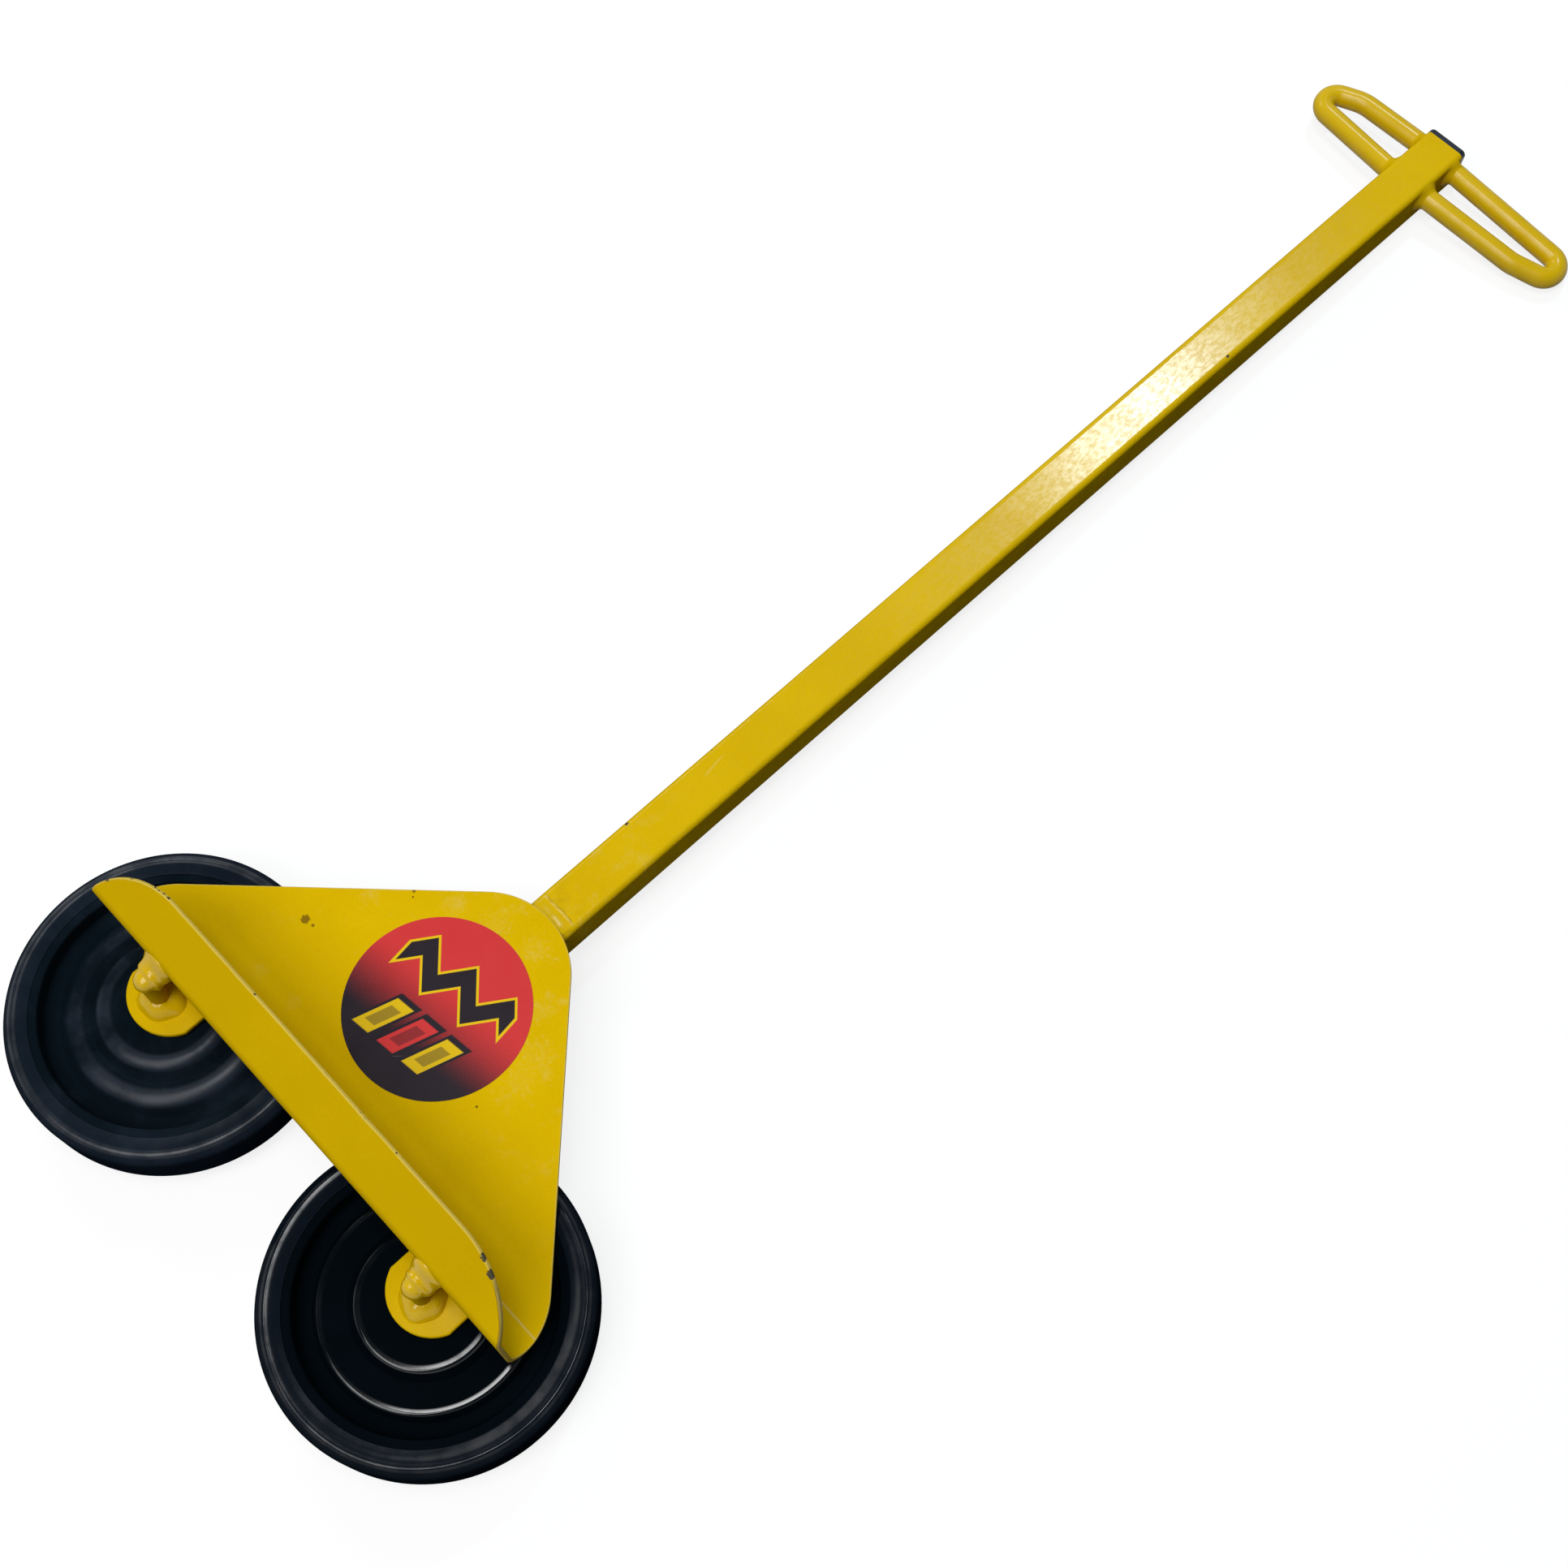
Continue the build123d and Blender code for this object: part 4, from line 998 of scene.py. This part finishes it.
class DOLLY_OT_plate(bpy.types.Operator):
    """Build the folded carrier plate and its worn enamel"""

    bl_idname = "dolly.plate"
    bl_label = "Carrier plate"

    # Marks on the flat pattern: across, below the plate's top or above the lip's free edge, depth, size
    stains = [(-0.1037, 0.0963, 0.0028), (-0.0975, 0.0972, 0.0011), (-0.0715, 0.1577, 0.0012),
              (-0.0690, 0.1545, 0.0007), (0.0610, 0.0960, 0.0008)]
    rubs = [(-0.0192, 0.1799, 0.009), (-0.0457, 0.1692, 0.007), (0.0103, 0.1878, 0.008), (0.0613, 0.1432, 0.010),
            (0.0660, 0.1260, 0.008), (0.0420, 0.1640, 0.007), (-0.0971, 0.0538, 0.005), (-0.0670, 0.0567, 0.004)]
    chips = [(0.1486, 0.0030, 0.0014, 0.0020), (0.1502, 0.0036, 0.0024, 0.0014), (0.1584, 0.0071, 0.0020, 0.0027),
             (0.1600, 0.0080, 0.0030, 0.0020), (-0.1372, 0.0006, 0.0015, 0.0013), (-0.1800, 0.0262, 0.0012, 0.0022),
             (0.0719, 0.0002, 0.0020, 0.0009), (-0.1420, 0.0012, 0.0012, 0.0012), (-0.1455, 0.0020, 0.0018, 0.0010),
             (-0.1490, 0.0030, 0.0010, 0.0013), (-0.1530, 0.0045, 0.0014, 0.0009), (-0.0560, 0.0002, 0.0016, 0.0011)]

    def execute(self, context):
        size, finish = context.scene.dolly_sheet, context.scene.dolly_finish
        piece = folded_sheet(size)
        end, top = free_edge(size), size.plate_top
        stains, rubs = ([((u, top - down, 0), r) for u, down, r in marks] for marks in (self.stains, self.rubs))
        stains.append(((0.1455, end - 0.0290, 0), 0.0009))
        chips = [((u, end - up, deep), r) for u, up, deep, r in self.chips]

        def rim_wear(here, reach, cover):
            return effect("Rim wear", Vector=here, Rim=read(here, "rim", "Fac"), Reach=reach, Cover=cover)

        def low(here):
            return ramp(here.axis("Y"), end - 0.06, end - 0.045)

        def bare(here):
            tip = ramp(here.axis("X"), 0.158, 0.168, 0.20, 0.36)
            return rim_wear(here, 0.0013, lerp(low(here), 0.05, tip))["Bare"]

        def pale_and_highlight(here):
            along = here.axis("Y")
            # The lighter line along the sheet's cut edges, strongest at the lip's free edge, is worn enamel and a
            # painted highlight on the rounded edge.
            line = rim_wear(here, 0.0014, 0.72)["Pale"] * lerp(ramp(along, end - 0.05, end - 0.02), 0.5, 0.6)
            crease = ramp(abs(along - (top - size.seat_level + 0.002)), 0.0009, 0.0003)
            smear = ramp(noise(here, 48.0, 5.0, 0.75), 0.54, 0.74) * ramp(along, 0.16, 0.03)
            return line | crease * ramp(here.axis("X"), 0.150, 0.160) * 0.8 | smear * 0.44

        # Grime in patches and specks, and a dark brown band along the cut edge at the lip's right tip.
        def dirt_and_shade(where):
            patch = ramp(noise(where, 26.0, 5.0, 0.7), 0.62, 0.85)
            speck = ramp(noise(where, 520.0, 3.0, 0.7), 0.66, 0.74)
            flat = read(where, "flat")
            tip = rim_wear(flat, 0.0017, 0.95)["Pale"] * ramp(flat.axis("X"), 0.158, 0.166) * low(flat)
            return patch * 0.10 | speck * 0.22 | tip * 0.9

        material = enamel_finish(
            "worn_yellow_sheet", finish, 300.0, 0.00008, 0.08, chips=chips, stains=stains, rubs=rubs,
            scuffs=[(0.35, 0.36), (2.2, 0.30)], bare=bare, pale_and_highlight=pale_and_highlight, dirt_and_shade=dirt_and_shade, unfolded=True,
        )
        dress(piece, "frame", "yellow_paint", material, "carrier_plate")
        return {"FINISHED"}


class DOLLY_OT_sticker(bpy.types.Operator):
    """Print the round sticker"""

    bl_idname = "dolly.sticker"
    bl_label = "Sticker"

    def execute(self, context):
        low, high = np.array(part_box("plate_sticker"))
        centre = tuple(((low + high) / 2 - ORIGIN) @ AXES.T)
        radius = float(high[0] - low[0]) / 2
        material = sticker_finish("printed_vinyl", context.scene.dolly_finish, centre, radius)
        paint_node("plate_sticker", material)
        return {"FINISHED"}


class DOLLY_OT_handle(bpy.types.Operator):
    """Finish the handle tube, its end cap and the two hand loops"""

    bl_idname = "dolly.handle"
    bl_label = "Handle"

    def execute(self, context):
        finish, weld = context.scene.dolly_finish, context.scene.dolly_welds
        half = weld.tube / 2

        def edge_rub(here):
            corner = ramp(abs(here.axis("X")) + here.axis("Z"), 2 * half - 0.0034, 2 * half - 0.0022)
            return corner * ramp(noise(here, 70.0, 5.0, 0.75), 0.66, 0.72)

        def foot_rub(here):
            return ramp(noise(here, 60.0, 5.0, 0.75), 0.50, 0.72) * ramp(here.axis("Y"), 0.34, 0.20) * 0.55

        # Grime-coloured patches towards the foot, where the tube meets the plate, and painted shade: the sides and
        # back below the front face turn grime-coloured in patches.
        def dirt_and_shade(here):
            foot = ramp(here.axis("Y"), 0.245, 0.205) * ramp(noise(here, 90.0, 4.0, 0.7), 0.45, 0.8, 0.0, 0.3)
            sides = ramp(here.axis("Z"), half - 0.002, half - 0.005)
            return foot | sides * ramp(noise(here, 40.0, 4.0, 0.6), 0.3, 0.7, 0.18, 0.36)

        def front(here):
            face, y = ramp(here.axis("Z"), half - 0.0010, half - 0.0001), here.axis("Y")
            drawn = here.vector("MULTIPLY", (1.0, 0.45, 1.0))
            peel = ramp(noise(drawn, 440.0, 3.0, 0.65, 0.3), 0.36, 0.62, 0.46, 1.0)
            cloud = ramp(noise(here, 30.0, 4.0, 0.6), 0.3, 0.7, 0.6, 1.0)
            return face * ramp(y, 0.34, 0.56, 0.35, 1.0) * ramp(y, 1.06, 0.92, 0.45, 1.0) * peel * cloud

        chips = [((-0.0155, 0.361, half), 0.0011), ((-0.0150, 0.286, half), 0.0014), ((0.0140, 0.835, half), 0.0012)]
        tube = enamel_finish(
            "yellow_tube", finish, 300.0, 0.00020, chips=chips, scuffs=[(1.45, 0.28)],
            bare=edge_rub, pale_and_highlight=foot_rub, dirt_and_shade=dirt_and_shade, coat=front, polish=0.20,
        )
        paint_node("handle_tube", tube)
        rod = enamel_finish(
            "yellow_rod", finish, 260.0, 0.00010, 0.02, 0.97, scuffs=[(0.1, 0.28)], coat=glaze(0.9), polish=0.27
        )
        for name in SIDES:
            paint_node(f"{name}_hand_loop", rod)
        cap = moulded_finish(
            "black_cap", finish.cap, (0.05, 0.052, 0.06), 0.42, 0.35, 0.00006, (0, weld.tube_top, 0)
        )
        paint_node("tube_end_cap", cap)
        return {"FINISHED"}


class DOLLY_OT_tabs(bpy.types.Operator):
    """Build the axle tabs and finish the axles, washers and split pins"""

    bl_idname = "dolly.tabs"
    bl_label = "Tabs and axles"

    def execute(self, context):
        size, finish = context.scene.dolly_sheet, context.scene.dolly_finish

        def behind(here):
            return ramp(here.axis("Z"), size.tab_back - 0.0004, size.tab_back - 0.0012)

        # Grime in patches only.
        def dirt_and_shade(where):
            return ramp(noise(where, 120.0, 4.0, 0.7), 0.5, 0.85) * 0.12

        flat = enamel_finish(
            "yellow_tab", finish, 260.0, 0.00014, -0.02, 0.97, scuffs=[(0.8, 0.30)], dirt_and_shade=dirt_and_shade,
            coat=glaze(0.08), polish=0.24,
        )
        rod = enamel_finish("yellow_axle", finish, 380.0, 0.00012, bare=behind, dirt_and_shade=dirt_and_shade)
        zinc = metal_finish("zinc_plate", finish.zinc, 0.28)
        for name, side in SIDES.items():
            piece = axle_tab(f"{name}_tab_plate", side, size)
            dress(piece, "frame", "yellow_paint", flat, f"{name}_axle_tab")
            paint_node(f"{name}_axle", rod)
            for part in ("inner_washer", "outer_washer", "cotter_pin"):
                paint_node(f"{name}_{part}", zinc)
        return {"FINISHED"}


class DOLLY_OT_welds(bpy.types.Operator):
    """Lay the weld beads on the tabs, the axles, the tube and the hand loops"""

    bl_idname = "dolly.welds"
    bl_label = "Weld beads"

    # Each loop leg at the tube: level, then rise of the leg and lean of the loop in degrees
    loop_legs = {
        "left": [(1.0919, -1.05, 0.6), (1.0564, 5.52, 0.6)],
        "right": [(1.0894, 0.77, 5.5), (1.0562, 4.54, 5.5)],
    }

    def execute(self, context):
        size, weld, finish = context.scene.dolly_sheet, context.scene.dolly_welds, context.scene.dolly_finish
        plate_back = size.plate_front - size.thickness
        u, v, w = np.eye(3)

        # A lighter line along the bead's toe ridge: worn enamel and a painted highlight on the ridge.
        def toe(here):
            line = abs(here.axis("Y") - (size.plate_top + weld.apex_leg - 0.0014))
            return ramp(line, 0.0010, 0.0004) * ramp(noise(here, 160.0), 0.35, 0.60, 0.1, 0.75)

        thick = enamel_finish("yellow_weld", finish, 150.0, 0.00025, coat=glaze(1.35), polish=0.15)
        plain = enamel_finish(
            "yellow_loop_weld", finish, 220.0, 0.00010, tint=0.95, scuffs=[(0.4, 0.3)], coat=glaze(0.15), polish=0.3
        )
        apex = enamel_finish(
            "yellow_apex_weld", finish, 220.0, 0.00010, tint=0.97, pale_and_highlight=toe, coat=glaze(0.5), polish=0.22
        )

        def lay(name, parts, node, skin=thick):
            points, faces = joined(parts)
            dress(make_piece(name, to_frame(points), faces, sharp=70), "frame", "painted_weld", skin, node)

        for name, side in SIDES.items():
            middle = side * SPACING / 2
            path, outward = ring_path(np.array([middle, 0, size.tab_front]), u, v, weld.rod / 2)
            legs = (weld.axle_leg, weld.axle_leg * 0.95)
            ring = bead(path, outward, w, legs, weld, 1.3 + side, True, 0.17, 0.0)
            lay(f"{name}_axle_bead", [ring, nugget(middle, weld, 0.7 + 2 * side)], f"{name}_axle_welds")

            half, rise = size.tab_width / 2, np.linspace(size.seat_level + 0.001, size.tab_rise, 80)
            over = np.linspace(-half, half, 110)[1:-1]
            path = np.concatenate([stack(-half, rise), stack(over, size.tab_rise), stack(half, rise[::-1])])
            away = np.repeat([-u, v, u], [len(rise), len(over), len(rise)], 0)
            away[[len(rise) - 1, -len(rise)]] = [[-0.7071, 0.7071, 0], [0.7071, 0.7071, 0]]
            path = stack(path[:, 0] + middle, path[:, 1], plate_back)
            seam = bead(path, away, -w, (weld.tab_leg, weld.tab_leg), weld, side)
            lay(f"{name}_tab_bead", [seam], f"{name}_tab_weld")

        seams = []
        for side in SIDES.values():
            run = np.linspace(weld.tube_foot + 0.002, size.plate_top - 0.012, 420)
            path = stack(side * (weld.tube / 2 - 0.001), run, plate_back)
            legs = (weld.tube_leg + 0.001, weld.tube_leg + weld.tube_corner * 0.6)
            seams.append(bead(path, side * u, -w, legs, weld, side, crown=0.05))
        lay("tube_seam_beads", seams, "tube_side_welds")
        lay("apex_bead", [apex_band(size, weld)], "tube_apex_weld", apex)

        for name, side in SIDES.items():
            rings = [self.loop_ring(side, level, *np.radians(turns), weld) for level, *turns in self.loop_legs[name]]
            lay(f"{name}_loop_beads", rings, f"{name}_loop_welds", plain)
        return {"FINISHED"}

    def loop_ring(self, side, level, turn, lean, weld):
        """A hollow fillet round a loop's leg, laid over the tube's rounded corner and cut off at its top."""
        half, corner, leg = weld.tube / 2, weld.tube_corner, weld.loop_leg
        out = np.array([side * math.cos(lean) * math.cos(turn), math.sin(turn), -math.sin(lean)])
        first = np.cross(out, [0, 0, 1])
        first /= np.linalg.norm(first)
        centre = np.array([side * half, level, weld.loop_forward])
        path, outward = ring_path(centre, first, np.cross(out, first), weld.loop_rod / 2, LOOP_POINTS)
        path[:, 0] = side * half
        flat = outward * [0, 1, 1]
        flat /= np.linalg.norm(flat, axis=1)[:, None]
        points, faces = bead(path, flat, out, (leg, leg), weld, level * 40, True, -0.16, 0.0)
        past = np.clip(np.abs(points[:, 2]) - half + corner, 0, corner)
        low = np.clip(1 - (np.abs(points[:, 0]) - half) / leg, 0, 1)
        points[:, 0] -= side * low * (corner - np.sqrt(corner**2 - past**2))
        points[:, 1] = np.minimum(points[:, 1], weld.tube_top - 0.0035)
        return points, faces


class DOLLY_OT_wheels(bpy.types.Operator):
    """Turn the wheel cores and tyres; the left wheel is duller and more worn than the right"""

    bl_idname = "dolly.wheels"
    bl_label = "Wheels"

    # The tyre's shining shoulder, as radius and half width
    tyre_band = (0.0952, 0.0034)
    # The dusty tread sets in over these radii and stops over these distances from the wheel's middle
    tread_from = (0.0900, 0.0940)
    tread_to = (0.0140, 0.0170)
    # Each wheel's colours against the finish, its skins, the cut of its core and the bands that shine; on the left
    # core those bands also get a bluish painted highlight
    looks = {
        "left": dict(
            worn=(0.018, 0.027, 0.042), painted_sheen=(0.017, 0.027, 0.050), core_tint=0.8, tyre_tint=0.85,
            core_cut=dict(disc=(0.0690, 0.0605), hub=(0.0490, 0.0405), disc_round=0.015, hub_round=0.012),
            core_skin=dict(gloss=0.33, wear=0.35, grain=0.00003, scratches=0.40),
            core_shine=dict(bands=[(0.0588, 0.0070), (0.0385, 0.0060)], high=0.42, cloud=26.0, least=0.12),
            tyre_skin=dict(gloss=0.32, wear=0.4, grain=0.00005), tyre_shine=0.8, tyre_round=0.0045,
        ),
        "right": dict(
            worn=(0.006, 0.010, 0.015), painted_sheen=None, core_tint=0.38, tyre_tint=0.55,
            core_cut=dict(disc=(0.0690, 0.0660), hub=(0.0470, 0.0420), disc_round=0.0036, hub_round=0.0036),
            core_skin=dict(gloss=0.08, wear=0.10, grain=0.00001, scratches=0.26),
            core_shine=dict(bands=[(0.0650, 0.0034), (0.0410, 0.0034)], high=1.0, cloud=20.0, least=0.12),
            tyre_skin=dict(gloss=0.16, wear=0.25, grain=0.00002), tyre_shine=0.6, tyre_round=0.003,
        ),
    }

    def execute(self, context):
        finish, size = context.scene.dolly_finish, context.scene.dolly_wheels
        nylon = nylon_finish("natural_nylon", finish.nylon)
        for name, side in SIDES.items():
            look = self.looks[name]
            shared = dict(worn=look["worn"], centre=(side * SPACING / 2, 0, WHEEL_LEVEL), shine=0.0)
            plastic = moulded_finish(
                f"{name}_core_plastic", [part * look["core_tint"] for part in finish.plastic], **look["core_skin"],
                coat=self.edges(**look["core_shine"]), painted_sheen=look["painted_sheen"], **shared,
            )
            core = turned(f"{name}_core_turned", core_contour(size, **look["core_cut"]), side)
            dress(core, f"{name}_wheel", "core_plastic", plastic, f"{name}_wheel_core")
            rubber = moulded_finish(
                f"{name}_tyre_rubber", [part * look["tyre_tint"] for part in finish.rubber], **look["tyre_skin"],
                scratches=0.3, coat=self.edges([self.tyre_band], 0.10, look["tyre_shine"]), **shared,
            )
            tyre = turned(f"{name}_tyre_turned", tyre_contour(size, look["tyre_round"]), side)
            dress(tyre, f"{name}_wheel", "tyre_rubber", rubber, f"{name}_tyre")
            for end in ("front", "rear"):
                paint_node(f"{name}_{end}_bush", nylon)
        return {"FINISHED"}

    def edges(self, bands, low=0.0, high=1.0, cloud=55.0, least=0.45):
        """Where a wheel shines: its round edges, given as radius and half width; flats and treads are dusty."""

        def mask(here):
            reach = here.vector("MULTIPLY", (1, 1, 0)).vector("LENGTH", output="Value")
            rings = most(ramp(abs(reach - radius), half, half * 0.5, 0.0, high) for radius, half in bands) | low
            rub = ramp(noise(here, cloud, 4.0, 0.6), 0.34, 0.62, least, 1.0)
            tread = ramp(reach, *self.tread_from) * (1.0 - ramp(abs(here.axis("Z")), *self.tread_to))
            return rings * rub * (1.0 - tread)

        return mask


FLOOR_POINTS = 96


class DOLLY_OT_studio(bpy.types.Operator):
    """Set up the floor and backdrop, the lamps, the sky and the camera"""

    bl_idname = "dolly.studio"
    bl_label = "Studio"

    def execute(self, context):
        studio = context.scene.dolly_studio
        context.scene.view_settings.view_transform = "Standard"
        self.backdrop(studio)
        self.lamp("key_lamp", studio.key, (0.0, -0.45, 0.0), studio.key_size, studio.key_power)
        self.lamp("side_lamp", studio.side, (0.0, -0.38, 0.05), studio.side_size, studio.side_power)
        self.lamp("fill_lamp", studio.fill, (0.0, -0.38, 0.0), studio.fill_size, studio.fill_power)
        glint = studio.glint_size, studio.glint_power, studio.glint_tint
        self.lamp("glint_lamp", studio.glint, (0.0, 0.28, 0.03), *glint)
        world = bpy.data.worlds.new("even_sky")
        world.use_nodes = True
        feed(world.node_tree.nodes["Background"], {"Color": (0.92, 0.96, 1.0, 1), "Strength": studio.sky})
        context.scene.world = world
        data = bpy.data.cameras.new("photo_view")
        data.lens, data.sensor_width = studio.lens, 36
        data.clip_start, data.clip_end = 0.01, 100
        camera = bpy.data.objects.new("photo_view", data)
        camera.location, camera.rotation_euler = studio.camera, studio.camera_turn
        context.scene.collection.objects.link(camera)
        context.scene.camera = camera
        return {"FINISHED"}

    def lamp(self, name, at, aim, size, power, tint=(1.0, 1.0, 1.0)):
        """A square soft lamp that looks at a point."""
        data = bpy.data.lights.new(name, "AREA")
        data.shape, data.size, data.energy, data.color = "SQUARE", size, power, tint
        lamp = bpy.data.objects.new(name, data)
        lamp.location = at
        x, y, z = np.array(at) - np.array(aim)
        lamp.rotation_euler = (math.atan2(math.hypot(x, y), z), 0, math.atan2(x, -y))
        lamp.visible_camera = False
        bpy.context.scene.collection.objects.link(lamp)

    def backdrop(self, studio):
        """Floor and wall in one: a profile, flat, then a quarter round, then straight up, turned about Z."""
        bend, wide = 1.5, studio.floor_radius
        a = np.linspace(0, math.pi / 2, 16)[1:]
        r = np.concatenate([[0.0], np.linspace(0.4, wide, 12), wide + bend * np.sin(a), [wide + bend]])[:, None]
        z = np.concatenate([np.zeros(13), bend * (1 - np.cos(a)), [studio.backdrop]])[:, None]
        turn = np.linspace(0, 2 * math.pi, FLOOR_POINTS, endpoint=False)
        points = stack(r * np.cos(turn), r * np.sin(turn), z)
        faces = grid_faces(len(r), FLOOR_POINTS, ring=True)
        floor = make_piece("studio_floor", points.reshape(-1, 3), faces, sharp=60)
        floor.data.flip_normals()
        material, spot = new_material("pale_floor")
        tree = spot.tree
        dark, light = (rgb([studio.floor_paint] * 3, factor) for factor in (0.98, 1.02))
        paint = wire(tree, "ShaderNodeBsdfDiffuse", {"Color": mixed(noise(spot, 3.0), dark, light)})
        path = tree.nodes.new("ShaderNodeLightPath").outputs
        seen = most(Field(path[key]) for key in ("Is Camera Ray", "Is Glossy Ray", "Is Transmission Ray"))
        glow = wire(tree, "ShaderNodeEmission", {"Strength": seen * studio.floor_glow})
        show(wire(tree, "ShaderNodeAddShader", {0: Field(paint.outputs[0]), 1: Field(glow.outputs[0])}))
        floor.data.materials.append(material)


class DOLLY_PT_sidebar(bpy.types.Panel):
    """Lists the pieces and the values that shape them"""

    bl_idname = "DOLLY_PT_sidebar"
    bl_label = "Panel dolly"
    bl_space_type = "VIEW_3D"
    bl_region_type = "UI"
    bl_category = "Panel dolly"

    def draw(self, context):
        for operator in OPERATORS:
            self.layout.operator(operator.bl_idname)
        for key, group in VALUES.items():
            box = self.layout.box()
            box.label(text=group.__doc__)
            for field in group.__annotations__:
                box.prop(getattr(context.scene, key), field)


VALUES = {
    "dolly_sheet": DollySheet, "dolly_welds": DollyWelds, "dolly_wheels": DollyWheels,
    "dolly_finish": DollyFinish, "dolly_studio": DollyStudio,
}
OPERATORS = (
    DOLLY_OT_plate, DOLLY_OT_sticker, DOLLY_OT_handle, DOLLY_OT_tabs,
    DOLLY_OT_welds, DOLLY_OT_wheels, DOLLY_OT_studio,
)
CLASSES = (*VALUES.values(), *OPERATORS, DOLLY_PT_sidebar)


def register():
    for kind in CLASSES:
        bpy.utils.register_class(kind)
    for key, group in VALUES.items():
        setattr(bpy.types.Scene, key, bpy.props.PointerProperty(type=group))


def unregister():
    for key in VALUES:
        delattr(bpy.types.Scene, key)
    for kind in reversed(CLASSES):
        bpy.utils.unregister_class(kind)


def main():
    """Build every piece in order."""
    register()
    bpy.ops.dolly.plate()
    bpy.ops.dolly.sticker()
    bpy.ops.dolly.handle()
    bpy.ops.dolly.tabs()
    bpy.ops.dolly.welds()
    bpy.ops.dolly.wheels()
    bpy.ops.dolly.studio()


if __name__ == "__main__":
    main()
